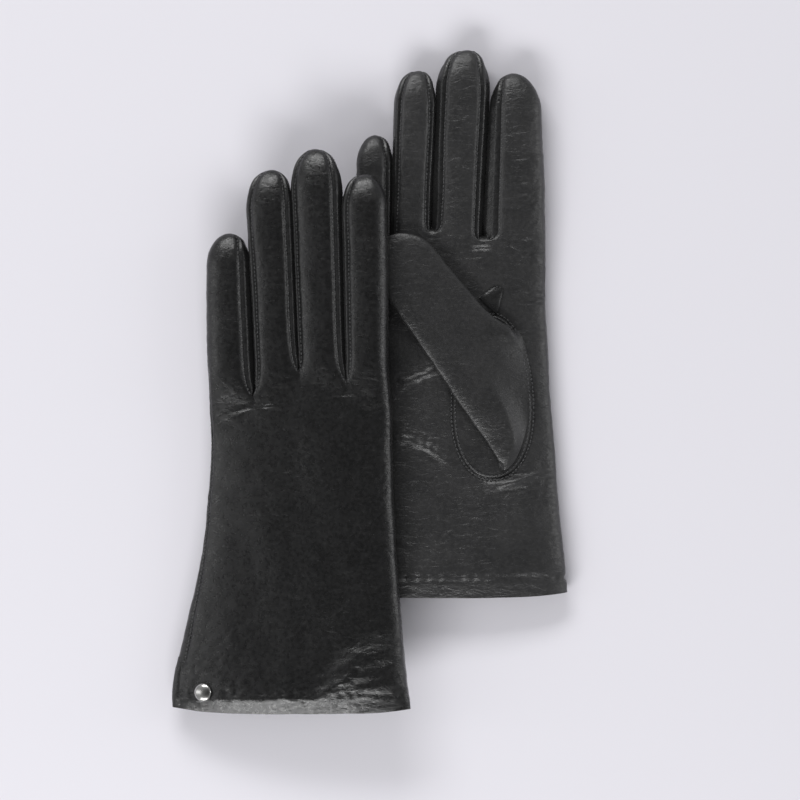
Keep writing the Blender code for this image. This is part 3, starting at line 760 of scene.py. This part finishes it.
def leather_material(name, tone=0.0055, roughness=0.29, folds=0.7):
    """Fine-grained black kid leather: soft sheen, pores, fine cross folds in patches, slight mottling."""
    material, nodes, links, shader = new_material(name)
    place = nodes.new("ShaderNodeTexCoord")

    def texture(kind, scale, stretch=(1, 1, 1), **settings):
        mapping = nodes.new("ShaderNodeMapping")
        mapping.inputs["Scale"].default_value = stretch
        links.new(place.outputs["Object"], mapping.inputs["Vector"])
        node = nodes.new(kind)
        node.inputs["Scale"].default_value = scale
        for key, value in settings.items():
            if key in node.inputs:
                node.inputs[key].default_value = value
            else:
                setattr(node, key, value)
        links.new(mapping.outputs["Vector"], node.inputs["Vector"])
        return node

    def math_node(operation, a, b):
        node = nodes.new("ShaderNodeMath")
        node.operation = operation
        for k, value in enumerate((a, b)):
            if isinstance(value, (int, float)):
                node.inputs[k].default_value = value
            else:
                links.new(value, node.inputs[k])
        return node.outputs["Value"]

    pores = texture("ShaderNodeTexVoronoi", 1500.0, feature="DISTANCE_TO_EDGE")
    grain = texture("ShaderNodeTexNoise", 620.0, Detail=2.0, Roughness=0.5)
    fold = texture("ShaderNodeTexNoise", 300.0, (0.50, 1.30, 1.0), Detail=4.0, Distortion=0.6)
    patch = texture("ShaderNodeTexNoise", 26.0, Detail=2.0)
    mottle = texture("ShaderNodeTexNoise", 70.0, Detail=5.0)

    colour = nodes.new("ShaderNodeValToRGB")
    colour.color_ramp.elements[0].position = 0.3
    colour.color_ramp.elements[0].color = (tone * 0.75, tone * 0.75, tone * 0.77, 1)
    colour.color_ramp.elements[1].position = 0.75
    colour.color_ramp.elements[1].color = (tone * 1.35, tone * 1.33, tone * 1.35, 1)
    links.new(mottle.outputs["Fac"], colour.inputs["Fac"])
    links.new(colour.outputs["Color"], shader.inputs["Base Color"])

    rough = nodes.new("ShaderNodeMapRange")
    rough.inputs["From Min"].default_value = 0.3
    rough.inputs["From Max"].default_value = 0.7
    rough.inputs["To Min"].default_value = roughness - 0.05
    rough.inputs["To Max"].default_value = roughness + 0.08
    links.new(grain.outputs["Fac"], rough.inputs["Value"])
    links.new(rough.outputs["Result"], shader.inputs["Roughness"])

    where = nodes.new("ShaderNodeMapRange")
    where.inputs["From Min"].default_value = 0.30
    where.inputs["From Max"].default_value = 0.75
    where.inputs["To Min"].default_value = 0.25
    links.new(patch.outputs["Fac"], where.inputs["Value"])
    ridge = math_node("ABSOLUTE", math_node("SUBTRACT", fold.outputs["Fac"], 0.5), 0.0)
    ridge = math_node("MULTIPLY", math_node("MINIMUM", ridge, 0.12), -4.5 * folds)
    ridge = math_node("MULTIPLY", ridge, where.outputs["Result"])
    edge = math_node("MINIMUM", pores.outputs["Distance"], 0.2)
    height = math_node("ADD", math_node("MULTIPLY", edge, 0.6), math_node("MULTIPLY", grain.outputs["Fac"], 0.65))
    height = math_node("ADD", height, ridge)
    bump = nodes.new("ShaderNodeBump")
    bump.inputs["Strength"].default_value = 0.6
    bump.inputs["Distance"].default_value = 0.00027
    links.new(height, bump.inputs["Height"])
    links.new(bump.outputs["Normal"], shader.inputs["Normal"])
    shader.inputs["Specular IOR Level"].default_value = 0.55
    shader.inputs["Sheen Weight"].default_value = 0.03
    shader.inputs["Sheen Roughness"].default_value = 0.4
    return material


def knit_material():
    """A fine black knit: rows of small loops with a soft sheen."""
    material, nodes, links, shader = new_material("knitted_lining_fine")
    place = nodes.new("ShaderNodeTexCoord")
    waves = []
    for axis in ("X", "Y"):
        wave = nodes.new("ShaderNodeTexWave")
        wave.bands_direction = axis
        wave.inputs["Scale"].default_value = 260.0
        wave.inputs["Distortion"].default_value = 1.2
        wave.inputs["Detail"].default_value = 2.0
        links.new(place.outputs["Object"], wave.inputs["Vector"])
        waves.append(wave)
    both = nodes.new("ShaderNodeMath")
    both.operation = "MULTIPLY"
    links.new(waves[0].outputs["Fac"], both.inputs[0])
    links.new(waves[1].outputs["Fac"], both.inputs[1])
    # the colour follows the loops of the bump, darker between them: painted shade between the loops of black yarn
    colour = nodes.new("ShaderNodeValToRGB")
    colour.color_ramp.elements[0].color = (0.012, 0.012, 0.014, 1)
    colour.color_ramp.elements[1].color = (0.05, 0.05, 0.055, 1)
    links.new(both.outputs["Value"], colour.inputs["Fac"])
    links.new(colour.outputs["Color"], shader.inputs["Base Color"])
    bump = nodes.new("ShaderNodeBump")
    bump.inputs["Strength"].default_value = 0.8
    bump.inputs["Distance"].default_value = 0.0004
    links.new(both.outputs["Value"], bump.inputs["Height"])
    links.new(bump.outputs["Normal"], shader.inputs["Normal"])
    shader.inputs["Roughness"].default_value = 0.9
    shader.inputs["Sheen Weight"].default_value = 0.4
    return material


def thread_material():
    """Polished black sewing thread with a fine twist."""
    material, nodes, links, shader = new_material("black_thread")
    place = nodes.new("ShaderNodeTexCoord")
    twist = nodes.new("ShaderNodeTexWave")
    twist.bands_direction = "DIAGONAL"
    twist.inputs["Scale"].default_value = 1800.0
    links.new(place.outputs["Object"], twist.inputs["Vector"])
    # the colour follows the twist's bump, darker in its grooves and lighter on its ridges, and is lifted above the
    # leather's black: painted shade and painted highlight on black thread
    colour = nodes.new("ShaderNodeValToRGB")
    colour.color_ramp.elements[0].color = (0.020, 0.020, 0.021, 1)
    colour.color_ramp.elements[1].color = (0.080, 0.080, 0.082, 1)
    links.new(twist.outputs["Fac"], colour.inputs["Fac"])
    links.new(colour.outputs["Color"], shader.inputs["Base Color"])
    bump = nodes.new("ShaderNodeBump")
    bump.inputs["Distance"].default_value = 0.0001
    links.new(twist.outputs["Fac"], bump.inputs["Height"])
    links.new(bump.outputs["Normal"], shader.inputs["Normal"])
    shader.inputs["Roughness"].default_value = 0.4
    return material


def nickel_material():
    """Bright nickel plate with faint scuffs."""
    material, nodes, links, shader = new_material("bright_nickel")
    place = nodes.new("ShaderNodeTexCoord")
    scuff = nodes.new("ShaderNodeTexNoise")
    scuff.inputs["Scale"].default_value = 900.0
    scuff.inputs["Detail"].default_value = 5.0
    links.new(place.outputs["Object"], scuff.inputs["Vector"])
    rough = nodes.new("ShaderNodeMapRange")
    rough.inputs["To Min"].default_value = 0.14
    rough.inputs["To Max"].default_value = 0.32
    links.new(scuff.outputs["Fac"], rough.inputs["Value"])
    links.new(rough.outputs["Result"], shader.inputs["Roughness"])
    shader.inputs["Base Color"].default_value = (0.42, 0.415, 0.405, 1)
    shader.inputs["Metallic"].default_value = 1.0
    return material


LEATHER_SKIN = leather_material("black_kid_leather")
# the right glove's leather is the same black kid with its tone raised more than threefold: painted light for the
# brighter look of a glove lying flat under the lamps; its rougher grain and stronger folds are real roughness and
# bump
LEATHER_RIGHT_PAINTED_LIGHTER = leather_material("black_kid_leather_worn", tone=0.0185, roughness=0.36, folds=1.15)
# the thumb's leather is the same black kid with its tone raised almost threefold: painted light for a brighter thumb;
# its roughness and folds are its own
LEATHER_THUMB = leather_material("black_kid_leather_thumb", tone=0.0160, roughness=0.38, folds=0.8)
LEATHER_SIDE = leather_material("black_kid_leather_fourchette", tone=0.009, roughness=0.29, folds=0.5)
KNIT = knit_material()
THREAD = thread_material()
NICKEL = nickel_material()


# ---------------------------------------------------------------- thumb, gusset and quirk

def palm_height(glove, x, y):
    """z of the palm's leather at x, y, before fine detail."""
    return hand_height(glove, np.asarray(x, float), np.asarray(y, float), glove.palm)


def thumb_surface(glove, face, rows=90, columns=44):
    """Grid points of the thumb's outer (+1) or inner (-1) leather, from its root to the tip."""
    root, tip = np.array((25.0, 88.5)), np.array((-30.1, 160.0))
    spine = tip - root
    spine_angle = math.atan2(spine[1], spine[0]) - math.pi / 2
    k = np.linspace(0, 1, rows)
    dome_from = 0.81
    angle = np.clip((k - dome_from) / (1 - dome_from), 0, 1) * math.pi / 2
    along = np.where(k < dome_from, k, dome_from + (1 - dome_from) * np.sin(angle))
    shrink = np.where(k < dome_from, 1.0, np.cos(angle) ** 1.08)
    shrink[-1] = 0.0
    half = np.interp(along, (0.0, 0.1, 0.2, 0.3, 0.4, 0.5, 0.72), (31.5, 26.2, 21.5, 18.2, 16.6, 16.0, 15.1)) * shrink
    turn = lerp(math.radians(86.3), spine_angle, smooth(along / 0.5))
    u = np.linspace(math.pi, 0, columns)
    share = signed_power(np.cos(u), 2 / 3.2)
    px = root[0] + spine[0] * along
    py = root[1] + spine[1] * along
    bow = 10.2 * (1 - smooth(along / 0.4)) if face > 0 else 0.0 * along
    x = px[:, None] + np.cos(turn)[:, None] * half[:, None] * share[None, :]
    y = py[:, None] + np.sin(turn)[:, None] * half[:, None] * share[None, :]
    # the root bows out to the oval's far seam
    out = bow[:, None] * np.sqrt(np.maximum(0, 1 - share[None, :] ** 2))
    x = x + out
    thick = lerp(4.2, 5.6, smooth(along / 0.6))
    profile = np.maximum(0, 1 - np.abs(share) ** 3.2) ** (1 / 3.2)
    # its middle rises slowly from the oval's far seam, its two edges quickly
    low_edge, high_edge = smooth((-share - 0.1) / 0.7), smooth((share - 0.5) / 0.4)
    rate = 1 / lerp(lerp(0.30, 0.13, high_edge), 0.06, low_edge)
    rise = 1.0 if face < 0 else smooth(along[:, None] * rate[None, :] + 0.02 + 0.28 * low_edge[None, :])
    mid = 0.5 + thick / 2
    z_top = mid[:, None] + (thick / 2 * shrink)[:, None] * profile[None, :]
    z_low = mid[:, None] - (thick / 2 * shrink)[:, None] * profile[None, :]
    if face > 0:
        z = z_top * rise + (1 - rise) * 0.35
    else:
        z = z_low
    base = palm_height(glove, x, y) if glove.palm > 0 else np.minimum(palm_height(glove, x, y), 0.3)
    crown = PALM_TOP if glove.palm > 0 else 0.0
    follow = smooth(1 - along / 0.3)[:, None] if face > 0 else 0.0
    level = lerp(crown, base, follow)
    if glove.palm > 0:
        zz = np.minimum(level + z, underside_of_left(x, y))
    else:
        zz = level - z
    return np.stack([x, y, zz], axis=-1)


PALM_TOP = 12.0


def underside_of_left(x, y):
    """How high the right glove's thumb can be, in its own frame, where the left glove lies over it."""
    world = RIGHT.world(np.stack([x, y, np.full_like(x, 12.0)], -1)) / MM
    across = (world[..., 0] - LEFT.location.x) / math.cos(LEFT.tilt)
    up = world[..., 1] - LEFT.location.y
    index = LEFT.fingers[3]
    edge = np.where(up < 150, LEFT.edge_high(up), index.top[0] + index.top_w / 2)
    share = np.clip((across - index.top[0]) / (edge - index.top[0]), -1, 1)
    low = 6.5 - 6.5 * (1 - np.abs(share) ** FULLNESS) ** (1 / FULLNESS)
    limit = LEFT.location.z + across * math.sin(LEFT.tilt) + low - 1.0
    return np.where(across < edge + 0.5, limit, 99.0)


def weld(points, faces):
    """The same surface with points that share a place made one, and the faces that vanish left out."""
    _, first, inverse = np.unique(np.round(points, 3), axis=0, return_index=True, return_inverse=True)
    inverse = inverse.reshape(-1)
    merged = []
    for f in faces:
        g = []
        for i in f:
            j = int(inverse[i])
            if j not in g:
                g.append(j)
        if len(g) >= 3:
            merged.append(g)
    return points[first], merged


def join_grids(a, b):
    """One closed surface from two grids that share their side edges and far end."""
    r, c = a.shape[:2]
    points = np.vstack([a.reshape(-1, 3), b.reshape(-1, 3)])
    return weld(points, grid_faces(r, c) + grid_faces(r, c, offset=r * c, flip=True))


def build_thumb(glove):
    outer, inner = thumb_surface(glove, 1), thumb_surface(glove, -1)
    # side edges meet at mid height
    inner[:, 0], inner[:, -1], inner[-1] = outer[:, 0], outer[:, -1], outer[-1]
    points, faces = join_grids(outer, inner)
    if glove.palm < 0:
        faces = [f[::-1] for f in faces]
    normals = vertex_normals(points, faces)
    detail = 0.28 * fbm(points, 17.0, 2, 31.0) + 0.10 * fbm(points, 5.0, 3, 33.0)
    points = points + normals * detail[:, None]
    normals = vertex_normals(points, faces)
    name = f"{glove.side}_thumb_leather"
    # the thumb takes the lighter, painted-light copy of the leather
    obj = shell(name, glove.world(points), faces, glove.turn(normals), LEATHER, LEATHER_THUMB)
    start = glove.world([(38.0, 90.0, 12.0 if glove.palm > 0 else 0.0)])[0]
    end = glove.world([(14.0, 93.5, 12.0 if glove.palm > 0 else 0.0)])[0]
    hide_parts(f"{glove.side}_thumb", f"{glove.side}_thumb_lining")
    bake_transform(obj)
    return obj


def oval_ring(offset, count=120):
    """The egg-shaped seam that sets the thumb into the palm, offset mm outwards."""
    cx, cy, rx, ry_low, ry_high = OVAL
    a = np.linspace(0, 2 * math.pi, count, endpoint=False)
    c, d = np.cos(a), np.sin(a)
    x = cx + (rx + offset) * np.where(d < 0, signed_power(c, 2 / 2.25), c)
    y = cy + np.where(d < 0, (ry_low + offset) * signed_power(d, 2 / 2.25), (ry_high + offset) * d)
    return np.stack([x, y], -1)


def build_gusset(glove):
    """The thumb piece's own leather where it is sewn into the palm, with two rows of stitches."""
    sign = glove.palm
    offsets = (-OVAL[2], -14.0, -11.0, -9.0, -7.0, -5.0, -3.4, -2.2, -1.3, -0.7, -0.3, 0.0)
    lift = (0.20, 0.20, 0.20, 0.20, 0.22, 0.26, 0.32, 0.42, 0.50, 0.46, 0.25, -0.25)
    rings = []
    count = 120
    for s, h in zip(offsets, lift):
        ring = oval_ring(s, count)
        z = palm_height(glove, ring[:, 0], ring[:, 1]) + sign * h
        rings.append(np.column_stack([ring, z]))
    points = np.vstack(rings)
    faces = []
    for r in range(len(offsets) - 1):
        for k in range(count):
            a, b = r * count + k, r * count + (k + 1) % count
            quad = [a, a + count, b + count, b]
            faces.append(quad if sign > 0 else quad[::-1])
    points, faces = weld(points, faces)
    normals = vertex_normals(points, faces)
    points = points + normals * (0.10 * fbm(points, 6.0, 2, 41.0))[:, None]
    # the gusset takes the thumb's lighter, painted-light copy of the leather
    obj = shell(
        f"{glove.side}_thumb_gusset_leather", glove.world(points), faces, glove.turn(normals), 0.5, LEATHER_THUMB
    )
    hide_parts(f"{glove.side}_thumb_gusset")
    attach(obj, f"{glove.side}_hand")
    found = []
    for offset in (0.75, -0.95):
        ring = oval_ring(offset, 240)
        z = palm_height(glove, ring[:, 0], ring[:, 1]) + sign * (0.16 if offset > 0 else 0.55)
        line = np.column_stack([ring, z])
        line = np.vstack([line, line[:1]])
        normal = np.tile((0.0, 0.0, float(sign)), (len(line), 1))
        found += stitches_along(line, normal)
    verts, faces = thread_mesh(found, 0.30, 1.3)
    threads = new_object(f"{glove.side}_thumb_oval_stitches", glove.world(verts), faces, THREAD)
    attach(threads, f"{glove.side}_hand")
    return obj


def build_quirk(glove):
    """The small diamond set between the thumb and the palm, with stitches along its upper edges."""
    corners = np.array([(12.8, 133.4), (19.4, 138.4), (22.8, 137.2), (20.2, 126.6)])
    sign = glove.palm
    steps = 14
    t = np.linspace(0, 1, steps)
    points = []
    for a in t:
        for b in t:
            left = lerp(corners[0], corners[1], a)
            right = lerp(corners[3], corners[2], a)
            p = lerp(left, right, b)
            dome = math.sin(math.pi * a) ** 0.6 * math.sin(math.pi * b) ** 0.6
            z = palm_height(glove, p[0], p[1]) + sign * (0.35 + 0.55 * dome)
            points.append((p[0], p[1], z))
    points = np.array(points)
    faces = grid_faces(steps, steps, flip=sign > 0)
    normals = vertex_normals(points, faces)
    name = f"{glove.side}_thumb_quirk_leather"
    obj = shell(name, glove.world(points), faces, glove.turn(normals), 0.7, LEATHER_SIDE)
    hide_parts(f"{glove.side}_thumb_quirk")
    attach(obj, f"{glove.side}_hand")
    found = []
    for a, b in ((0, 1), (1, 2)):
        p = np.linspace(corners[a], corners[b], 12)
        centre = corners.mean(axis=0)
        p = centre + (p - centre) * 1.12
        z = palm_height(glove, p[:, 0], p[:, 1]) + sign * 0.35
        line = np.column_stack([p, z])
        found += stitches_along(line, np.tile((0.0, 0.0, float(sign)), (len(line), 1)), 1.6)
    verts, faces = thread_mesh(found, 0.30, 1.15)
    threads = new_object(f"{glove.side}_thumb_quirk_stitches", glove.world(verts), faces, THREAD)
    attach(threads, f"{glove.side}_hand")


# ---------------------------------------------------------------- vent and press stud


def turned_object(name, profile, origin, out, along, material, steps=48):
    """A turned piece: profile is (radius, height) in mm; out is its axis."""
    out = np.asarray(out) / np.linalg.norm(out)
    side = np.cross(along, out)
    side /= np.linalg.norm(side)
    up = np.cross(out, side)
    verts, faces = [], []
    for r, h in profile:
        for k in range(steps):
            a = 2 * math.pi * k / steps
            verts.append(origin + (side * math.cos(a) + up * math.sin(a)) * r + out * h)
    for i in range(len(profile) - 1):
        for k in range(steps):
            a, b = i * steps + k, i * steps + (k + 1) % steps
            faces.append([a, a + steps, b + steps, b])
    faces.append(list(range(steps)))
    last = (len(profile) - 1) * steps
    faces.append([last + k for k in reversed(range(steps))])
    obj = new_object(name, np.array(verts), faces, material)
    edges = obj.modifiers.new("edges", "EDGE_SPLIT")
    edges.split_angle = math.radians(40)
    return obj


def build_vent(glove, skin):
    side = glove.side
    face = -glove.palm
    # the right glove's flap takes the lighter, painted-light copy of the leather
    flap = skin.piece("vent", f"{side}_vent_flap_leather", LEATHER_RIGHT_PAINTED_LIGHTER if glove.palm > 0 else LEATHER_SKIN)
    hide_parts(f"{side}_vent_flap")
    low = glove.world([(hand_x(glove, glove.hinge_share, 11.0) + 1.5, 11.0, 10.0 if face > 0 else 2.0)])[0]
    high = glove.world([(hand_x(glove, glove.hinge_share, 11.0) - 5.0, 11.0, 10.0 if face > 0 else 2.0)])[0]
    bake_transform(flap)

    cx, cy = glove.cap
    step = 1.5

    def at(x, y):
        return np.array((x, y, float(hand_height(glove, np.float64(x), np.float64(y), face))))

    across, along = at(cx + step, cy) - at(cx - step, cy), at(cx, cy + step) - at(cx, cy - step)
    out = np.cross(across, along)
    out = out / np.linalg.norm(out) * face * np.sign(out[2])
    centre = at(cx, cy)
    world_centre = glove.world([centre])[0]
    out_w, along_w = glove.turn([out])[0], glove.turn([along])[0]
    sunk = -0.35 if glove.palm < 0 else 0.05
    dome = [(0.02, 2.05)]
    for k in range(1, 15):
        a = k / 14 * math.pi / 2
        dome.append((4.05 * math.sin(a), 0.45 + 1.6 * math.cos(a) ** 0.9))
    dome += [(4.05, 0.1), (3.9, 0.0), (0.02, 0.0)]
    if glove.palm > 0:
        dome = [(r, h * 0.9) for r, h in dome]
    parts = {
        "press_cap": (f"{side}_vent_corner", [(r * MM, (h + sunk) * MM) for r, h in dome]),
    }
    for node, (body, profile) in parts.items():
        obj = turned_object(f"{side}_{node}_dome", profile, world_centre, out_w, along_w, NICKEL)
        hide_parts(f"{side}_{node}")
        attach(obj, body)
    for node in ("press_socket", "press_stud", "press_post"):
        for material_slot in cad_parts[f"{side}_{node}"].material_slots:
            material_slot.material = NICKEL

    rows, columns = 30, 16
    y = np.linspace(0.2, 25.0, rows)[:, None] + np.zeros((1, columns))
    t = np.linspace(0.0, 1.0, columns)[None, :]
    reach = 12.5 * np.clip((26.5 - y) / 6.0, 0.25, 1.0)
    x = glove.edge_low(y) + 0.15 + reach * t
    share = hand_share(glove, x, y)
    z = hand_height(glove, x, y, face) - face * (1.75 * smooth(t * reach / 4.5) + 0.05)
    y = y + 2.4 * np.abs(share) ** 4 * np.clip(1 - y / 22.0, 0, 1)
    points = np.stack([x, y, z], -1).reshape(-1, 3)
    points[:, 2] += 0.12 * fbm(points, 5.0, 2, 61.0)
    faces = grid_faces(rows, columns, flip=face < 0)
    normals = vertex_normals(points, faces)
    underlap = shell(
        f"{side}_vent_underlap_leather", glove.world(points), faces, glove.turn(normals), 0.8, LEATHER_SIDE
    )
    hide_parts(f"{side}_vent_underlap")
    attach(underlap, f"{side}_hand")


# ---------------------------------------------------------------- lining and seams


def build_lining(glove, skin):
    """A knitted tube inside the hand, sewn to the turned hem."""
    points, faces = [], []
    offset = 0
    rows = np.arange(20.0, 133.0, 4.0)
    columns = 60
    loops = []
    a = np.linspace(0, 2 * math.pi, columns, endpoint=False)
    for y in rows:
        share = signed_power(np.cos(a), 0.8)
        low, high = float(glove.edge_low(y)), float(glove.edge_high(y))
        x = (low + high) / 2 + share * ((high - low) / 2 - 2.6)
        top = hand_height(glove, x, np.full_like(x, y), 1) - 1.7
        bottom = hand_height(glove, x, np.full_like(x, y), -1) + 1.7
        middle = (top + bottom) / 2
        z = middle + (top - bottom) / 2 * signed_power(np.sin(a), 0.8)
        loops.append(np.stack([x, np.full_like(x, y), z], -1))
    points = np.vstack(loops)
    for r in range(len(rows) - 1):
        for k in range(columns):
            p, q = r * columns + k, r * columns + (k + 1) % columns
            faces.append([p, p + columns, q + columns, q])
    normals = vertex_normals(points, faces)
    points = points + normals * (0.2 * fbm(points, 7.0, 2, 51.0))[:, None]
    obj = shell(f"{glove.side}_lining_knit", glove.world(points), faces, glove.turn(normals), 0.5, KNIT)
    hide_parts(f"{glove.side}_hand_lining")
    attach(obj, f"{glove.side}_hand")


def build_webs(glove, skin):
    """The folded leather between two fingers that closes the end of each slit, on both faces."""
    verts, faces, normals = [], [], []
    offset = 0
    for face in (1, -1):
        palm_face = face == glove.palm
        for gap in range(3):
            y0 = crotch_of(glove, face, gap)
            low, high = glove.fingers[gap], glove.fingers[gap + 1]
            centre = float(gap_x(glove, gap, np.float64(y0)))
            width = 0.5 * (low.insets[1] + high.insets[0]) * (0.9 if palm_face else 0.45)
            t, u = np.meshgrid(np.linspace(0, 1, 10), np.linspace(-1, 1, 13), indexing="ij")
            length = 3.2 if palm_face else 2.4
            x = centre + u * width
            y = y0 - 0.7 + length * t
            flat = hand_height(glove, x, np.full_like(x, y0), face)
            z = flat - face * (0.75 + 2.6 * t**2.2 + 0.7 * np.abs(u) ** 3)
            points = np.stack([x, y, z], -1).reshape(-1, 3)
            quads = grid_faces(10, 13, flip=face > 0)
            n = vertex_normals(points, quads)
            if np.mean(n[:, 2]) * face < 0:
                quads = [q[::-1] for q in quads]
                n = -n
            verts.append(points)
            normals.append(n)
            faces += [[i + offset for i in q] for q in quads]
            offset += len(points)
    verts, normals = np.vstack(verts), np.vstack(normals)
    name = f"{glove.side}_finger_crotch_webs"
    obj = shell(name, glove.world(verts), faces, glove.turn(normals), 0.7, LEATHER_SIDE)
    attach(obj, f"{glove.side}_hand")


def build_side_seam(glove):
    """The seam down the little finger side, just above the glove's edge, with its stitches."""
    back = -glove.palm
    ys = np.linspace(24.0, 150.0, 170)
    x = glove.edge_low(ys) + seam_inset(glove, ys)
    z = hand_height(glove, x, ys, back) - 0.45 * back
    line = np.stack([x, ys, z], -1)
    normal = np.tile((-0.55, 0.0, 0.83 * back), (len(ys), 1))
    verts, faces = thread_mesh(stitches_along(line, normal, lift=0.12), 0.28, 1.3)
    threads = new_object(f"{glove.side}_side_seam_stitches", glove.world(verts), faces, THREAD)
    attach(threads, f"{glove.side}_hand")


# ---------------------------------------------------------------- assembly


def build_glove(glove):
    skin = Skin(glove)
    skin.finish()
    side = glove.side
    # the right glove takes the lighter, painted-light copy of the leather
    skin_leather = LEATHER_RIGHT_PAINTED_LIGHTER if glove.palm > 0 else LEATHER_SKIN
    hand = skin.piece("hand", f"{side}_hand_leather", skin_leather)
    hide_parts(f"{side}_trank_hand")
    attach(hand, f"{side}_hand")
    for index, finger in enumerate(glove.fingers):
        begin = blend_start(glove, index)
        z = finger.thick
        start = glove.world([(0.0, begin, z)])[0]
        end = glove.world([(0.0, begin + BLEND_END, z)])[0]
        piece = skin.piece(finger.name, f"{side}_{finger.name}_leather", skin_leather)
        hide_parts(f"{side}_{finger.name}_trank", f"{side}_{finger.name}_lining")
        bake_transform(piece)
        for which in (0, 1):
            if finger.insets[which] == 0:
                continue
            label = "outer" if which == 0 else "inner"
            points, faces, normals = wall(glove, skin, index, which)
            name = f"{side}_{finger.name}_fourchette_{label}_leather"
            strip_obj = shell(name, glove.world(points), faces, glove.turn(normals), 0.7, LEATHER_SIDE)
            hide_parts(f"{side}_{finger.name}_fourchette_{label}")
            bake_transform(strip_obj)
        verts, faces = thread_mesh(finger_stitches(glove, skin, index), 0.28, 1.3)
        threads = new_object(f"{side}_{finger.name}_stitches", glove.world(verts), faces, THREAD)
        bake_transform(threads)
    build_thumb(glove)
    build_gusset(glove)
    build_quirk(glove)
    build_vent(glove, skin)
    build_lining(glove, skin)
    build_side_seam(glove)
    build_webs(glove, skin)


for glove in (RIGHT, LEFT):
    build_glove(glove)


# ---------------------------------------------------------------- floor, light and camera


def build_stage():
    mesh = bpy.data.meshes.new("floor")
    s = 6.0
    mesh.from_pydata([(-s, -s, 0), (s, -s, 0), (s, s, 0), (-s, s, 0)], [], [(0, 1, 2, 3)])
    floor = bpy.data.objects.new("floor", mesh)
    floor.location.z = -0.0006
    bpy.context.scene.collection.objects.link(floor)
    material, nodes, links, shader = new_material("pale_floor")
    shader.inputs["Base Color"].default_value = (0.698, 0.685, 0.730, 1)
    shader.inputs["Roughness"].default_value = 0.9
    shader.inputs["Specular IOR Level"].default_value = 0.0
    mesh.materials.append(material)

    world = bpy.data.worlds.new("studio")
    bpy.context.scene.world = world
    world.use_nodes = True
    nodes, links = world.node_tree.nodes, world.node_tree.links
    place = nodes.new("ShaderNodeTexCoord")
    parts = nodes.new("ShaderNodeSeparateXYZ")
    ramp = nodes.new("ShaderNodeFloatCurve")
    curve = ramp.mapping.curves[0]
    curve.points[0].location = (0.0, 0.45)
    curve.points[1].location = (1.0, 0.06)
    for x, y in ((0.5, 0.45), (0.75, 0.29), (0.93, 0.10)):
        curve.points.new(x, y)
    ramp.mapping.update()
    links.new(place.outputs["Generated"], parts.inputs["Vector"])
    links.new(parts.outputs["Z"], ramp.inputs["Value"])
    links.new(ramp.outputs["Value"], nodes["Background"].inputs["Strength"])
    nodes["Background"].inputs["Color"].default_value = (0.97, 0.98, 1.0, 1)

    def area(name, location, size, power, target=(0.0, 0.0, 0.0)):
        data = bpy.data.lights.new(name, "AREA")
        data.shape = "RECTANGLE"
        data.size, data.size_y = size
        data.energy = power
        lamp = bpy.data.objects.new(name, data)
        lamp.location = location
        way = Vector(target) - Vector(location)
        lamp.rotation_euler = way.to_track_quat("-Z", "Y").to_euler()
        bpy.context.scene.collection.objects.link(lamp)

    area("softbox_far", (-0.45, 1.55, 1.15), (1.5, 0.55), 24.0)
    area("softbox_near", (-0.45, -1.5, 1.05), (1.7, 0.5), 31.0)
    area("softbox_right", (1.7, 0.1, 0.7), (0.4, 1.2), 5.0)
    area("softbox_left", (-1.7, 0.0, 0.9), (0.4, 1.2), 3.0)

    data = bpy.data.cameras.new("camera")
    camera = bpy.data.objects.new("camera", data)
    bpy.context.scene.collection.objects.link(camera)
    reach, width = 3.2, 0.35648
    data.sensor_width = 36.0
    data.lens = 18.0 / (width / 2 / reach)
    data.clip_end = 20.0
    camera.location = (0.0146, -0.0081, reach + 0.012)
    bpy.context.scene.camera = camera
    bpy.context.scene.view_settings.view_transform = "Standard"


build_stage()
